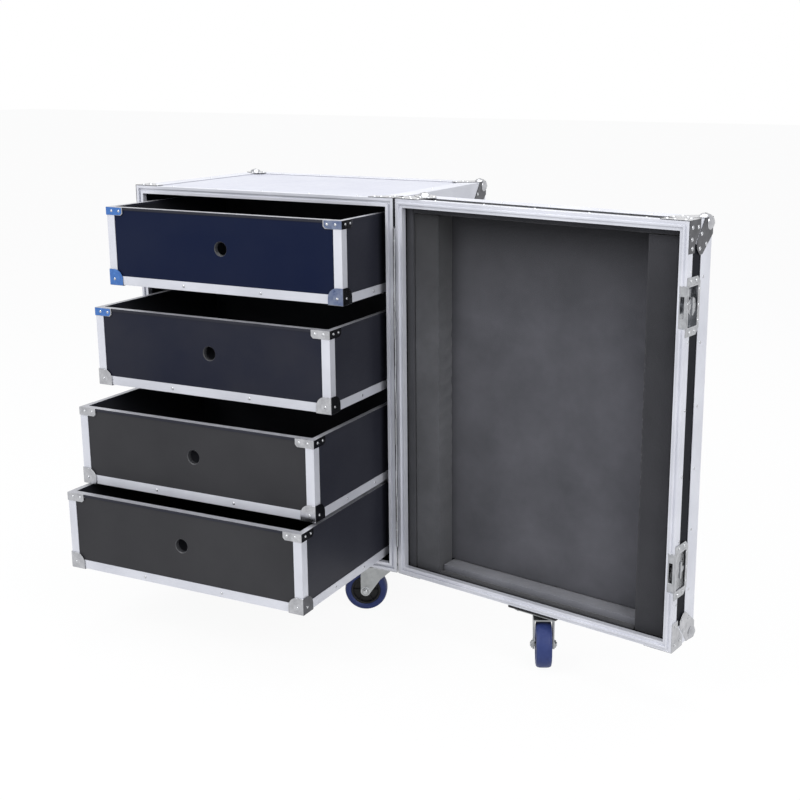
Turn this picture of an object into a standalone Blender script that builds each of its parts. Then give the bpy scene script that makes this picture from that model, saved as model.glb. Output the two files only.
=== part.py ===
"""Flight case for wireless microphones: a plywood case edged in aluminium, four drawers on
full-extension slides, a deep foam-lined door on a piano hinge, and five swivel casters.

Metres, +Z up, -Y is the front. The origin is the centre of the bottom panel's underside.
The model stands as photographed: the drawers partly pulled out and the door swung wide open.
"""

import math

import bmesh
import bpy
from mathutils import Matrix, Vector

# Case body, over its aluminium
CASE_W = 0.684
CASE_D = 0.482
CASE_H = 0.850

# Materials and fits
PANEL_T = 0.009
ALU_T = 0.0012
STEEL_T = 0.0015
GAP = 0.0003
SEAT = 0.0005
PAST = 0.010
PANEL_INSET = ALU_T + GAP
PANEL_IN = PANEL_INSET + PANEL_T
RIM_PRESS = 0.0002

# Closure frame: a grooved extrusion on the case, one with a tongue on the door
FRAME_FACE = 0.018
FRAME_BLOCK = 0.012
FRAME_DEPTH = 0.020
GROOVE_W = 0.0060
GROOVE_DEPTH = 0.0046
GROOVE_DRAFT = 0.0004
TONGUE_CLEAR = 0.0008
FLANGE_T = 0.0015

# Edge angles, ball corners and corner braces
EDGE_LEG = 0.044
BALL_R = 0.0185
BALL_INSET = 0.010
BALL_STEPS = 12
LEAF_SIDE = 0.034
LEAF_REACH = 0.066
LEAF_NOSE = 0.014
LEAF_FLANK = 0.026
BRACE_LEG = 0.060
BRACE_DEPTH = 0.047
BRACE_SHOULDER = 0.018
BRACE_TOE = 0.024
BRACE_HEEL = 0.046

# Door
DOOR_D = 0.100
DOOR_ANGLE = math.radians(169.5)
FOAM_T = 0.020
FOAM_BACK_T = 0.012
FOAM_BLOCK_EDGE = 0.098
FOAM_FRONT = 0.0225
FOAM_STEP = 0.004
FOAM_GAP = 0.0005

# Hinge
HINGE_R = 0.003
HINGE_PIN_R = 0.0012
HINGE_LEAF_W = 0.020
HINGE_LEAF_T = 0.0012
HINGE_MARGIN = 0.063
HINGE_PITCH = 0.060
HINGE_OUT = GAP + HINGE_R

# Drawers, from the lowest to the highest: the gap under each and how far each stands out
DRAWER_GAPS = (0.0151, 0.0076, 0.0381, 0.0444)
DRAWER_OUT = (0.3310, 0.2760, 0.2050, 0.1490)
DRAWER_TOP_ROOM = 0.0238
DRAWER_SIDE_ROOM = 0.038
DRAWER_BACK_ROOM = 0.042
DRAWER_W = CASE_W - 2 * DRAWER_SIDE_ROOM
DRAWER_D = CASE_D - DRAWER_BACK_ROOM
DRAWER_H = (CASE_H - 2 * PANEL_IN - DRAWER_TOP_ROOM - sum(DRAWER_GAPS)) / len(DRAWER_GAPS)
DRAWER_RECESS = 0.010
DRAWER_FRONT_T = 0.012
DRAWER_BOTTOM_T = 0.006
DRAWER_EDGE_LEG = 0.020
RIM_LIP = 0.006
HOLE_R = 0.015
HOLE_FLARE = 0.0015
HOLE_DROP = 0.077
TOP_BRACKET_LEG = 0.044
TOP_BRACKET_H = 0.018
TOP_BRACKET_NOSE = 0.005
LOW_CORNER_LEG = 0.035
LOW_CORNER_TIP = 0.006

# Drawer slides under the drawers: three nested rails that lie flat on a shelf angle
SLIDE_T = 0.0127
SLIDE_W = 0.035
SLIDE_SETBACK = 0.040
SLIDE_BACK = 0.005
SLIDE_L = DRAWER_D - SLIDE_SETBACK - SLIDE_BACK
SLIDE_MARGIN = 0.002
RAIL_T = 0.0012
RACE_GAP = 0.0007
SHELF_T = 0.002
SHELF_FLANGE = 0.030
SHELF_BACK = 0.015

# Casters
WHEEL_R = 0.050
WHEEL_W = 0.034
TYRE_T = 0.012
TREAD_EDGE = 0.009
TREAD_FALL = 0.0015
TYRE_SHOULDER = 0.006
RIM_STEP = 0.003
WHEEL_STEPS = 20
CASTER_H = 0.125
CASTER_TRAIL = 0.040
BOARD = (0.120, 0.092)
PLATE = (0.105, 0.085, 0.004)
PLATE_CHAMFER = 0.008
MOUNT_DROP = 0.011
RACE_R = 0.025
BOLT_AT = (0.041, 0.032)
BOLT_R = 0.0065
BOLT_H = 0.0035
WHEEL_DISH = 0.007
HUB_R = 0.014
CASTER_INSET = (0.068, 0.060)
HEAD_R = 0.027
HEAD_H = 0.0040
FORK_T = 0.003
FORK_REAR = 0.026
FORK_HEEL = (0.008, 0.010)
FORK_NOSE_R = 0.011
FORK_CLEAR = 0.0025
AXLE_R = 0.005
AXLE_HEAD_R = 0.009
AXLE_HEAD_T = 0.0045
DOOR_CASTER_SHIFT = 0.015
CASTER_TURN = {
    "front_left": math.radians(196),
    "front_right": math.radians(204),
    "back_left": math.radians(150),
    "back_right": math.radians(38),
}
DOOR_CASTER_TURN = math.radians(-66)

# Butterfly latches on the door's free edge, with keepers on the case
LATCH_Z = (0.165, CASE_H - 0.160)
DISH_CHAMFER = 0.012
LATCH_FLANGE = (0.0555, 0.112)
LATCH_PAN = (0.0475, 0.0804)
LATCH_DEPTH = 0.0140
LATCH_HUB_Y = 0.027
LATCH_REACH = 0.032
LATCH_CLAW_W = 0.014
LATCH_CLAW_T = 0.003
LATCH_HUB_R = 0.007
LATCH_WING_R = 0.0175
LATCH_WING_T = 0.002
LATCH_GRIP = (0.034, 0.005, 0.0022)
LATCH_SLOT = (0.041, 0.008)
LATCH_SLOT_DEEP = 0.008

# Sprung handles, let into the case's sides
HANDLE_FLANGE = (0.172, 0.132)
HANDLE_PAN = (0.142, 0.102)
HANDLE_DEPTH = 0.018
HANDLE_ROD_R = 0.004
HANDLE_ROD_DEEP = 0.0085
HANDLE_PIVOT = 0.036
HANDLE_BAR = -0.034
HANDLE_ARM = 0.058
HANDLE_BEND = 0.010
GRIP_R = 0.0075
GRIP_HALF = 0.040
GRIP_ROUND = 0.0015

COLOURS = {
    "laminate": ((0.022, 0.023, 0.028), 0.45, 0.0),
    "top_laminate": ((0.62, 0.62, 0.68), 0.35, 0.0),
    "drawer_laminate": ((0.030, 0.031, 0.036), 0.42, 0.0),
    "aluminium": ((0.62, 0.63, 0.66), 0.32, 1.0),
    "zinc": ((0.56, 0.58, 0.58), 0.36, 1.0),
    "foam": ((0.050, 0.051, 0.054), 0.92, 0.0),
    "tyre": ((0.030, 0.060, 0.200), 0.48, 0.0),
    "black_steel": ((0.030, 0.031, 0.034), 0.45, 1.0),
}

X, Y, Z = Vector((1, 0, 0)), Vector((0, 1, 0)), Vector((0, 0, 1))
FRONT = -CASE_D / 2
BACK = CASE_D / 2
SIDE = CASE_W / 2
COLLECTIONS = {}


def clear_scene():
    for old in list(bpy.data.objects):
        bpy.data.objects.remove(old, do_unlink=True)
    for name in ("microphone_flight_case", "cutters"):
        group = bpy.data.collections.new(name)
        bpy.context.scene.collection.children.link(group)
        COLLECTIONS[name] = group


def material(kind):
    """The Principled material of one finish, made when it is first asked for."""
    if kind not in bpy.data.materials:
        colour, roughness, metallic = COLOURS[kind]
        made = bpy.data.materials.new(kind)
        made.use_nodes = True
        shader = made.node_tree.nodes["Principled BSDF"]
        shader.inputs["Base Color"].default_value = (*colour, 1.0)
        shader.inputs["Roughness"].default_value = roughness
        shader.inputs["Metallic"].default_value = metallic
    return bpy.data.materials[kind]


def finished(bm):
    """A mesh from a bmesh, with its faces turned outwards."""
    bmesh.ops.recalc_face_normals(bm, faces=bm.faces)
    mesh = bpy.data.meshes.new("shape")
    bm.to_mesh(mesh)
    bm.free()
    return mesh


def axes(origin, a, b, c):
    """The matrix that takes local X, Y and Z to the directions a, b and c at an origin."""
    turn = Matrix((a, b, c)).transposed().to_4x4()
    return Matrix.Translation(Vector(origin)) @ turn


def box(low, high):
    low, high = Vector(low), Vector(high)
    bm = bmesh.new()
    size = Matrix.Diagonal((*(high - low), 1.0))
    bmesh.ops.create_cube(bm, size=1.0, matrix=Matrix.Translation((low + high) / 2) @ size)
    return finished(bm)


def cylinder(radius, low, high, segments=16, matrix=Matrix()):
    """A cylinder on local Z from low to high."""
    bm = bmesh.new()
    middle = Matrix.Translation((0, 0, (low + high) / 2))
    bmesh.ops.create_cone(
        bm, cap_ends=True, segments=segments, radius1=radius, radius2=radius,
        depth=high - low, matrix=matrix @ middle,
    )
    return finished(bm)


def extruded(points, length, matrix=Matrix()):
    """An outline in local XY drawn out along local Z."""
    bm = bmesh.new()
    outline = bm.faces.new([bm.verts.new((u, v, 0.0)) for u, v in points])
    drawn = bmesh.ops.extrude_face_region(bm, geom=[outline])["geom"]
    moved = [vert for vert in drawn if isinstance(vert, bmesh.types.BMVert)]
    bmesh.ops.translate(bm, verts=moved, vec=(0.0, 0.0, length))
    bmesh.ops.transform(bm, matrix=matrix, verts=bm.verts)
    return finished(bm)


def turned(profile, steps, matrix=Matrix()):
    """A closed loop of (radius, height) points turned round local Z."""
    bm = bmesh.new()
    ring = [bm.verts.new((radius, 0.0, height)) for radius, height in profile]
    for i, vert in enumerate(ring):
        bm.edges.new((vert, ring[(i + 1) % len(ring)]))
    loop = bpy.data.meshes.new("profile")
    bm.to_mesh(loop)
    bm.free()
    holder = bpy.data.objects.new("profile", loop)
    bpy.context.scene.collection.objects.link(holder)
    screw = holder.modifiers.new("turn", "SCREW")
    screw.axis = "Z"
    screw.angle = 2 * math.pi
    screw.steps = steps
    screw.render_steps = steps
    screw.use_merge_vertices = True
    screw.merge_threshold = 0.00001
    return transformed(baked(holder), matrix)


def rod(points, radius, matrix=Matrix()):
    """A round bar along a chain of points, with closed ends."""
    curve = bpy.data.curves.new("rod", "CURVE")
    curve.dimensions = "3D"
    curve.bevel_depth = radius
    curve.bevel_resolution = 2
    curve.use_fill_caps = True
    spline = curve.splines.new("POLY")
    spline.points.add(len(points) - 1)
    for point, place in zip(spline.points, points):
        point.co = (*place, 1.0)
    holder = bpy.data.objects.new("rod", curve)
    bpy.context.scene.collection.objects.link(holder)
    mesh = baked(holder)
    bm = bmesh.new()
    bm.from_mesh(mesh)
    bmesh.ops.remove_doubles(bm, verts=bm.verts, dist=0.00001)
    bmesh.ops.transform(bm, matrix=matrix, verts=bm.verts)
    return finished(bm)


def baked(holder):
    """The evaluated mesh of an object, which is then removed."""
    graph = bpy.context.evaluated_depsgraph_get()
    mesh = bpy.data.meshes.new_from_object(holder.evaluated_get(graph))
    bpy.data.objects.remove(holder, do_unlink=True)
    return mesh


def transformed(mesh, matrix):
    bm = bmesh.new()
    bm.from_mesh(mesh)
    bmesh.ops.transform(bm, matrix=matrix, verts=bm.verts)
    return finished(bm)


def together(*meshes):
    """Several separate solids as one mesh."""
    bm = bmesh.new()
    for mesh in meshes:
        bm.from_mesh(mesh)
    return finished(bm)


def carved(base, *steps):
    """A mesh after Booleans: each step is UNION or DIFFERENCE and the mesh it is done with."""
    holder = bpy.data.objects.new("carved", base)
    bpy.context.scene.collection.objects.link(holder)
    cutters = []
    for operation, mesh in steps:
        cutter = bpy.data.objects.new("cutter", mesh)
        cutter.hide_render = True
        cutter.display_type = "WIRE"
        COLLECTIONS["cutters"].objects.link(cutter)
        cut = holder.modifiers.new("cut", "BOOLEAN")
        cut.operation = operation
        cut.object = cutter
        cutters.append(cutter)
    mesh = baked(holder)
    for cutter in cutters:
        bpy.data.objects.remove(cutter, do_unlink=True)
    bm = bmesh.new()
    bm.from_mesh(mesh)
    return finished(bm)


def empty(name, parent, location, turn=0.0):
    """The frame of a body that moves: an empty on its joint's axis."""
    made = bpy.data.objects.new(name, None)
    made.parent = parent
    made.location = location
    made.rotation_euler = (0.0, 0.0, turn)
    COLLECTIONS["microphone_flight_case"].objects.link(made)
    return made


def piece(name, mesh, finish, parent, smooth=False):
    """One node of the model, in its parent's frame."""
    if not mesh.materials:
        mesh.materials.append(material(finish))
        if smooth:
            mesh.shade_smooth()
            mesh.set_sharp_from_angle(angle=math.radians(35))
    made = bpy.data.objects.new(name, mesh)
    made.parent = parent
    COLLECTIONS["microphone_flight_case"].objects.link(made)
    return made


def frame_profile(tongue):
    """The closure extrusion's section: x inwards from its outer face, y away from the plane
    where door and case meet. Two flanges behind the block hold the panel's edge."""
    middle = FRAME_FACE / 2
    if tongue:
        half = GROOVE_W / 2 - TONGUE_CLEAR
        tip = -(GROOVE_DEPTH - TONGUE_CLEAR)
    else:
        half = GROOVE_W / 2
        tip = GROOVE_DEPTH
    lip = [(middle - half, 0), (middle - half + GROOVE_DRAFT, tip),
           (middle + half - GROOVE_DRAFT, tip), (middle + half, 0)]
    slot_in = PANEL_IN + GAP
    return [
        (0, 0), *lip, (FRAME_FACE, 0), (FRAME_FACE, FRAME_BLOCK),
        (slot_in + FLANGE_T, FRAME_BLOCK), (slot_in + FLANGE_T, FRAME_DEPTH),
        (slot_in, FRAME_DEPTH), (slot_in, FRAME_BLOCK),
        (ALU_T, FRAME_BLOCK), (ALU_T, FRAME_DEPTH), (0, FRAME_DEPTH),
    ]


def closure_frame(left, front, tongue, notches, extra=()):
    """The closure extrusion round a mouth whose lower left corner is at x = left, notched
    for the latch pans, with a pressed brace over each of its corners."""
    frame = swept_round(frame_profile(tongue), CASE_W, CASE_H)
    frame = transformed(frame, Matrix.Translation((left, front, 0)))
    return carved(frame, ("DIFFERENCE", notches), *[("UNION", mesh) for mesh in extra],
                  ("UNION", corner_braces(left, front)))


def swept_round(profile, width, height):
    """A section carried round an upright rectangle, mitred at its four corners: the section
    is given as (inwards, backwards) from the rectangle's edge."""
    bm = bmesh.new()
    corners = ((0, 0, 1, 1), (width, 0, -1, 1), (width, height, -1, -1), (0, height, 1, -1))
    loops = [[bm.verts.new((x + sx * u, v, z + sz * u)) for u, v in profile]
             for x, z, sx, sz in corners]
    for loop, following in zip(loops, loops[1:] + loops[:1]):
        for i in range(len(profile)):
            j = (i + 1) % len(profile)
            bm.faces.new((loop[i], loop[j], following[j], following[i]))
    return finished(bm)


def edging(left, front, depth):
    """The angle along every edge behind a closure frame, with the back's ball corners: a
    thin skin with a window left in each face."""
    right, rear, leg = left + CASE_W, front + depth, EDGE_LEG
    start = front + FRAME_DEPTH + GAP
    before, after = start - PAST, rear + PAST
    skin = box((left, start, 0), (right, rear, CASE_H))
    inside = box((left + ALU_T, before, ALU_T), (right - ALU_T, rear - ALU_T, CASE_H - ALU_T))
    side_window = box((left - PAST, before, leg), (right + PAST, rear - leg, CASE_H - leg))
    end_window = box((left + leg, before, -PAST), (right - leg, rear - leg, CASE_H + PAST))
    back_window = box((left + leg, before, leg), (right - leg, after, CASE_H - leg))
    return carved(
        skin, ("DIFFERENCE", inside), ("DIFFERENCE", side_window), ("DIFFERENCE", end_window),
        ("DIFFERENCE", back_window), ("UNION", ball_corners(left, rear)),
    )


def half_space(normal, distance):
    """A block that fills everything past the plane at a distance along a normal."""
    normal = Vector(normal)
    distance /= normal.length
    normal.normalize()
    side = normal.orthogonal().normalized()
    place = axes(normal * distance, side, normal.cross(side), normal)
    far = 1.0
    return transformed(box((-far, -far, 0), (far, far, far)), place)


def ball_corner():
    """A pressed ball corner for a corner at the origin whose box lies along +X, +Y and +Z:
    three arrow-shaped leaves, one flat on each face, that meet in a ball over the corner."""
    reach = LEAF_REACH
    block = box((-STEEL_T, -STEEL_T, -STEEL_T), (reach, reach, reach))
    bm = bmesh.new()
    bmesh.ops.create_uvsphere(
        bm, u_segments=BALL_STEPS, v_segments=BALL_STEPS // 2, radius=BALL_R,
        matrix=Matrix.Translation((BALL_INSET, BALL_INSET, BALL_INSET)),
    )
    inside = box((SEAT, SEAT, SEAT), (2 * reach, 2 * reach, 2 * reach))
    slope = (reach - LEAF_SIDE) / (reach - LEAF_FLANK)
    shears = [half_space(normal, LEAF_SIDE)
              for normal in ((1, -slope, -slope), (-slope, 1, -slope), (-slope, -slope, 1))]
    shears.append(half_space((1, 1, 1), 2 * reach - LEAF_NOSE))
    return carved(block, ("UNION", finished(bm)), ("DIFFERENCE", inside),
                  *[("DIFFERENCE", shear) for shear in shears])


def ball_corners(left, rear):
    """The ball corner turned onto each of the four back corners."""
    base = ball_corner()
    placed = []
    for x, z, turn in (
        (left, 0, axes((left, rear, 0), X, Z, -Y)),
        (left, CASE_H, axes((left, rear, CASE_H), X, -Y, -Z)),
        (left + CASE_W, 0, axes((left + CASE_W, rear, 0), -X, -Y, Z)),
        (left + CASE_W, CASE_H, axes((left + CASE_W, rear, CASE_H), -X, -Z, -Y)),
    ):
        placed.append(transformed(base, turn))
    return together(*placed)


def corner_brace():
    """A pressed brace for a frame corner at the origin that lies along +X, +Y and +Z: two
    legs, on the side and on the end, notched at the back to leave room for a ball corner's
    leaf. It is seated on the frame and clears the edging behind it."""
    def fold(outer, inner, front, back):
        points = [(-outer, -outer), (BRACE_LEG, -outer), (BRACE_LEG, -inner), (-inner, -inner),
                  (-inner, BRACE_LEG), (-outer, BRACE_LEG)]
        return extruded(points, back - front, axes((0, front, 0), X, Z, Y))

    outer = GAP + STEEL_T
    legs = fold(outer, GAP, GAP, BRACE_DEPTH)
    seat = fold(GAP + STEEL_T / 2, -SEAT, 2 * GAP, FRAME_DEPTH - GAP)
    deep, far = BRACE_DEPTH + PAST, BRACE_LEG + PAST
    notch = [(deep, BRACE_SHOULDER), (BRACE_DEPTH, BRACE_SHOULDER), (BRACE_TOE, BRACE_HEEL),
             (BRACE_TOE, far), (deep, far)]
    notches = [
        extruded(notch, 2 * PAST, axes((-PAST, 0, 0), Y, Z, X)),
        extruded(notch, 2 * PAST, axes((0, 0, -PAST), Y, X, Z)),
    ]
    return carved(legs, ("DIFFERENCE", notches[0]), ("DIFFERENCE", notches[1]), ("UNION", seat))


def corner_braces(left, front):
    """The brace turned onto the four corners of a frame."""
    base = corner_brace()
    right, top = left + CASE_W, CASE_H
    return together(*[
        transformed(base, axes((x, front, z), sx * X, Y, sz * Z))
        for x, sx in ((left, 1), (right, -1)) for z, sz in ((0, 1), (top, -1))
    ])


def hinge_leaf(knuckles_from, inner, outer):
    """A piano hinge's leaf with every second knuckle, its pin on local Z. The leaf runs
    along +Y at local X from inner to outer, on the side where the knuckles touch it."""
    length = CASE_H - 2 * HINGE_MARGIN
    sign = 1 if inner < 0 else -1
    meet = math.acos((abs(inner) - HINGE_LEAF_T) / HINGE_R)
    start, stop, steps = math.pi - meet, -math.pi, 10
    arc = [start + (stop - start) * i / steps for i in range(steps + 1)]
    points = [(outer, HINGE_LEAF_W)]
    points += [(sign * HINGE_R * math.cos(t), HINGE_R * math.sin(t)) for t in arc]
    points.append((inner, HINGE_LEAF_W))
    base = extruded(points, length, axes((0, 0, HINGE_MARGIN), X, Y, Z))
    gaps = []
    count = round(length / HINGE_PITCH)
    pitch = length / count
    reach = HINGE_R + GAP
    for i in range(count):
        if i % 2 != knuckles_from:
            low = HINGE_MARGIN + i * pitch - GAP / 2
            high = low + pitch + GAP
            low = low if i else 0.0
            high = high if i < count - 1 else CASE_H
            gaps.append(box((-reach, -reach, low), (reach, reach, high)))
    return carved(base, ("DIFFERENCE", together(*gaps)))


def pan(flange, opening, depth, open_front, gap=GAP):
    """A pressed dish let into a wall: local X points out of the wall, whose face is X = 0.
    With open_front its flange and pan stop at local Y = 0, where two such dishes meet. A
    negative gap seats the flange into what it is fixed to."""
    flange_y, flange_z = flange
    pan_y, pan_z = opening
    near = GAP if open_front else -flange_y / 2
    far = flange_y if open_front else flange_y / 2
    pan_near = 2 * GAP if open_front else -pan_y / 2
    pan_far = pan_y if open_front else pan_y / 2
    top = GAP + STEEL_T
    cut = DISH_CHAMFER
    outline = [(near, -flange_z / 2), (far - cut, -flange_z / 2), (far, -flange_z / 2 + cut),
               (far, flange_z / 2 - cut), (far - cut, flange_z / 2), (near, flange_z / 2)]
    if not open_front:
        outline[0:1] = [(near, -flange_z / 2 + cut), (near + cut, -flange_z / 2)]
        outline[-1:] = [(near + cut, flange_z / 2), (near, flange_z / 2 - cut)]
    plate = extruded(outline, top - gap, axes((gap, 0, 0), Y, Z, X))
    body = box((-depth, pan_near, -pan_z / 2), (top, pan_far, pan_z / 2))
    hollow = box(
        (-depth + STEEL_T, pan_near + STEEL_T, -pan_z / 2 + STEEL_T),
        (top + PAST, pan_far - STEEL_T, pan_z / 2 - STEEL_T),
    )
    return carved(plate, ("UNION", body), ("DIFFERENCE", hollow))


def latch_dish(gap):
    """Half of a butterfly latch's dish, with a slot in its front wall for the claw."""
    slot_h, slot_w = LATCH_SLOT
    slot = box(
        (-LATCH_SLOT_DEEP - slot_w / 2, -GAP, -slot_h / 2),
        (-LATCH_SLOT_DEEP + slot_w / 2, 2 * STEEL_T + 2 * GAP, slot_h / 2),
    )
    return carved(pan(LATCH_FLANGE, LATCH_PAN, LATCH_DEPTH, True, gap), ("DIFFERENCE", slot))


def latch_hole(at_x, front, z):
    """The room that a latch dish's pan takes in a wall and in the closure frame."""
    pan_y, pan_z = LATCH_PAN
    return box(
        (at_x - LATCH_DEPTH - GAP, front - FRAME_DEPTH, z - pan_z / 2 - GAP),
        (at_x + LATCH_DEPTH + GAP, front + pan_y + GAP, z + pan_z / 2 + GAP),
    )


def latch_turn():
    """The butterfly that turns on the dish's hub: a wing plate with a grip, over a claw that
    swings out through the front slot. It turns on local X; unlocked, the claw points up."""
    floor = -LATCH_DEPTH + STEEL_T + GAP
    along_x = axes((0, 0, 0), Y, Z, X)
    hub = cylinder(LATCH_HUB_R, floor, 0.0, 16, along_x)
    half = LATCH_CLAW_W / 2
    reach = math.sqrt(LATCH_REACH ** 2 - half ** 2)
    claw = box((-LATCH_SLOT_DEEP - LATCH_CLAW_T / 2, -half, 0),
               (-LATCH_SLOT_DEEP + LATCH_CLAW_T / 2, half, reach))
    wing = cylinder(LATCH_WING_R, -LATCH_WING_T - GAP, -GAP, 24, along_x)
    grip_l, grip_w, grip_h = LATCH_GRIP
    grip = box((-2 * GAP, -grip_w / 2, -grip_l / 2), (grip_h, grip_w / 2, grip_l / 2))
    return carved(hub, ("UNION", claw), ("UNION", wing), ("UNION", grip))


def handle_hole(at_x, z):
    pan_y, pan_z = HANDLE_PAN
    return box(
        (at_x - HANDLE_DEPTH - GAP, -pan_y / 2 - GAP, z - pan_z / 2 - GAP),
        (at_x + HANDLE_DEPTH + GAP, pan_y / 2 + GAP, z + pan_z / 2 + GAP),
    )


def handle_bail():
    """The handle's steel loop and its rubber grip, in the frame of its pivot, local Y."""
    end = HANDLE_PAN[0] / 2 - STEEL_T - GAP
    drop = HANDLE_BAR - HANDLE_PIVOT
    bend = HANDLE_BEND
    steps = 4
    half = [(0, end, 0), (0, HANDLE_ARM, 0)]
    for i in range(steps + 1):
        t = math.pi / 2 * i / steps
        half.append((0, HANDLE_ARM - bend + bend * math.cos(t), drop + bend - bend * math.sin(t)))
    path = half + [(x, -y, z) for x, y, z in reversed(half)]
    bar = rod(path, HANDLE_ROD_R)
    core = HANDLE_ROD_R / 2
    grip = turned(
        [(GRIP_R - GRIP_ROUND, GRIP_HALF), (GRIP_R, GRIP_HALF - 2 * GRIP_ROUND),
         (GRIP_R, -GRIP_HALF + 2 * GRIP_ROUND), (GRIP_R - GRIP_ROUND, -GRIP_HALF),
         (core, -GRIP_HALF), (core, GRIP_HALF)],
        12, axes((0, 0, drop), X, -Z, Y),
    )
    return carved(bar, ("UNION", grip))


def rail(back, web, lips, half_width):
    """A slide rail's C section, x up from the shelf and y across: its web lies between back
    and web, and its lips reach to lips."""
    return [
        (back, -half_width), (lips, -half_width), (lips, -half_width + RAIL_T),
        (web, -half_width + RAIL_T), (web, half_width - RAIL_T),
        (lips, half_width - RAIL_T), (lips, half_width), (back, half_width),
    ]


def slide_sections():
    """Sections of the outer, middle and inner rail, nested with a race gap between them. The
    outer is seated in its shelf and the inner in the drawer's bottom."""
    step = RAIL_T + RACE_GAP
    half = SLIDE_W / 2
    return {
        "outer": rail(-SEAT, RAIL_T, SLIDE_T - 2 * RAIL_T, half),
        "middle": rail(step, step + RAIL_T, SLIDE_T - step, half - step),
        "inner": rail(SLIDE_T + SEAT, SLIDE_T - RAIL_T, 2 * step, half - 2 * step),
    }


def slide_middle():
    """Half the distance between a drawer's two slides, which lie inside its bottom angles."""
    return DRAWER_W / 2 - DRAWER_EDGE_LEG - SLIDE_MARGIN - SLIDE_W / 2


def slide_rail(section, side, start, shelf_top):
    """A rail on one side of a drawer, from y = start, over a shelf's top face."""
    place = axes((side * slide_middle(), start, shelf_top), Z, X, Y)
    return extruded(slide_sections()[section], SLIDE_L, place)


def drawer_levels():
    """The height of each drawer's lower edge in the case."""
    levels = []
    level = PANEL_IN
    for gap in DRAWER_GAPS:
        levels.append(level + gap)
        level += gap + DRAWER_H
    return levels


def drawer_box():
    """A drawer's glued box with the inner rails of its slides, in the drawer's frame: y = 0
    at the front of its edging, z = 0 at the bottom of it. The bottom is raised to hold the
    slides, and the back stands on it."""
    half, low = DRAWER_W / 2 - PANEL_INSET, PANEL_INSET
    top = DRAWER_H - ALU_T - GAP
    front_back = PANEL_INSET + DRAWER_FRONT_T
    inner, rear = half - PANEL_T, DRAWER_D - PANEL_T
    floor_low = SLIDE_T - PANEL_INSET
    block = box((-half, PANEL_INSET, low), (half, DRAWER_D, top))
    inside = box((-inner, front_back, floor_low + DRAWER_BOTTOM_T), (inner, rear, top + PAST))
    below = box((-inner, front_back, low - PAST), (inner, DRAWER_D + PAST, floor_low))
    rails = [slide_rail("inner", s, SLIDE_SETBACK, -PANEL_INSET) for s in (-1, 1)]
    return carved(block, ("DIFFERENCE", inside), ("DIFFERENCE", below),
                  ("DIFFERENCE", finger_hole()), ("UNION", together(*rails)))


def finger_hole():
    """The cutter of the finger hole: a bore with a flare at each face of the front panel."""
    near, far = PANEL_INSET, PANEL_INSET + DRAWER_FRONT_T
    wide = HOLE_R + 2 * HOLE_FLARE
    profile = [(0.0, near - HOLE_FLARE), (wide, near - HOLE_FLARE), (HOLE_R, near + HOLE_FLARE),
               (HOLE_R, far - HOLE_FLARE), (wide, far + HOLE_FLARE), (0.0, far + HOLE_FLARE)]
    return turned(profile, 20, axes((0, 0, DRAWER_H - HOLE_DROP), X, -Z, Y))


def drawer_edging():
    """A drawer's metalwork: the angles on its front and bottom edges, the U trim on its rim,
    two brackets folded round the top front corners and two cups on the bottom ones."""
    half, leg, lip, top = DRAWER_W / 2, DRAWER_EDGE_LEG, RIM_LIP, DRAWER_H
    rear = DRAWER_D + GAP + ALU_T
    skin = box((-half, 0, 0), (half, rear, top))
    inside = box((-half + ALU_T, ALU_T, ALU_T), (half - ALU_T, rear - ALU_T, top - ALU_T))
    front_window = box((-half + leg, -PAST, leg), (half - leg, PAST, top - lip))
    side_window = box((-half - PAST, leg, leg), (half + PAST, rear + PAST, top - lip))
    floor_window = box((-half + leg, leg, -PAST), (half - leg, rear + PAST, PAST))
    behind = box((-half - PAST, DRAWER_D, -PAST), (half + PAST, rear + PAST, top - lip))
    reach = half - PANEL_IN - GAP
    front_in = PANEL_INSET + DRAWER_FRONT_T + GAP
    rear_in = DRAWER_D - PANEL_T - GAP
    trim = box((-reach, front_in, top - lip), (reach, rear_in, top))
    mouth = box((-reach + ALU_T, front_in + ALU_T, top - 2 * lip),
                (reach - ALU_T, rear_in - ALU_T, top + PAST))
    cuts = (inside, front_window, side_window, floor_window, behind)
    return carved(skin, *[("DIFFERENCE", mesh) for mesh in cuts], ("UNION", trim),
                  ("DIFFERENCE", mouth), *[("UNION", mesh) for mesh in drawer_corners()])


def drawer_corners():
    """The brackets and cups, seated on the edging: the brackets' fronts, then their sides,
    then the cups."""
    half, out, thick = DRAWER_W / 2, ALU_T, ALU_T + SEAT
    leg, nose, low, size = TOP_BRACKET_LEG, TOP_BRACKET_NOSE, DRAWER_H - TOP_BRACKET_H, LOW_CORNER_LEG
    outline = [(-out, DRAWER_H), (leg, DRAWER_H), (leg, low + nose), (leg - nose, low), (-out, low)]
    cup = carved(
        box((-out, -out, -out), (size, size, size)),
        ("DIFFERENCE", box((SEAT, SEAT, SEAT), (2 * size, 2 * size, 2 * size))),
        ("DIFFERENCE", half_space((1, 1, 1), size + LOW_CORNER_TIP)),
    )
    fronts, sides, cups = [], [], []
    for s in (-1, 1):
        corner, inwards = Vector((s * half, 0, 0)), -s * X
        fronts.append(extruded(outline, thick, axes(corner - out * Y, inwards, Z, Y)))
        sides.append(extruded(outline, thick, axes(corner - out * inwards, Y, Z, inwards)))
        cups.append(transformed(cup, axes(corner, inwards, Y, Z)))
    return together(*fronts), together(*sides), together(*cups)


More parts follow.
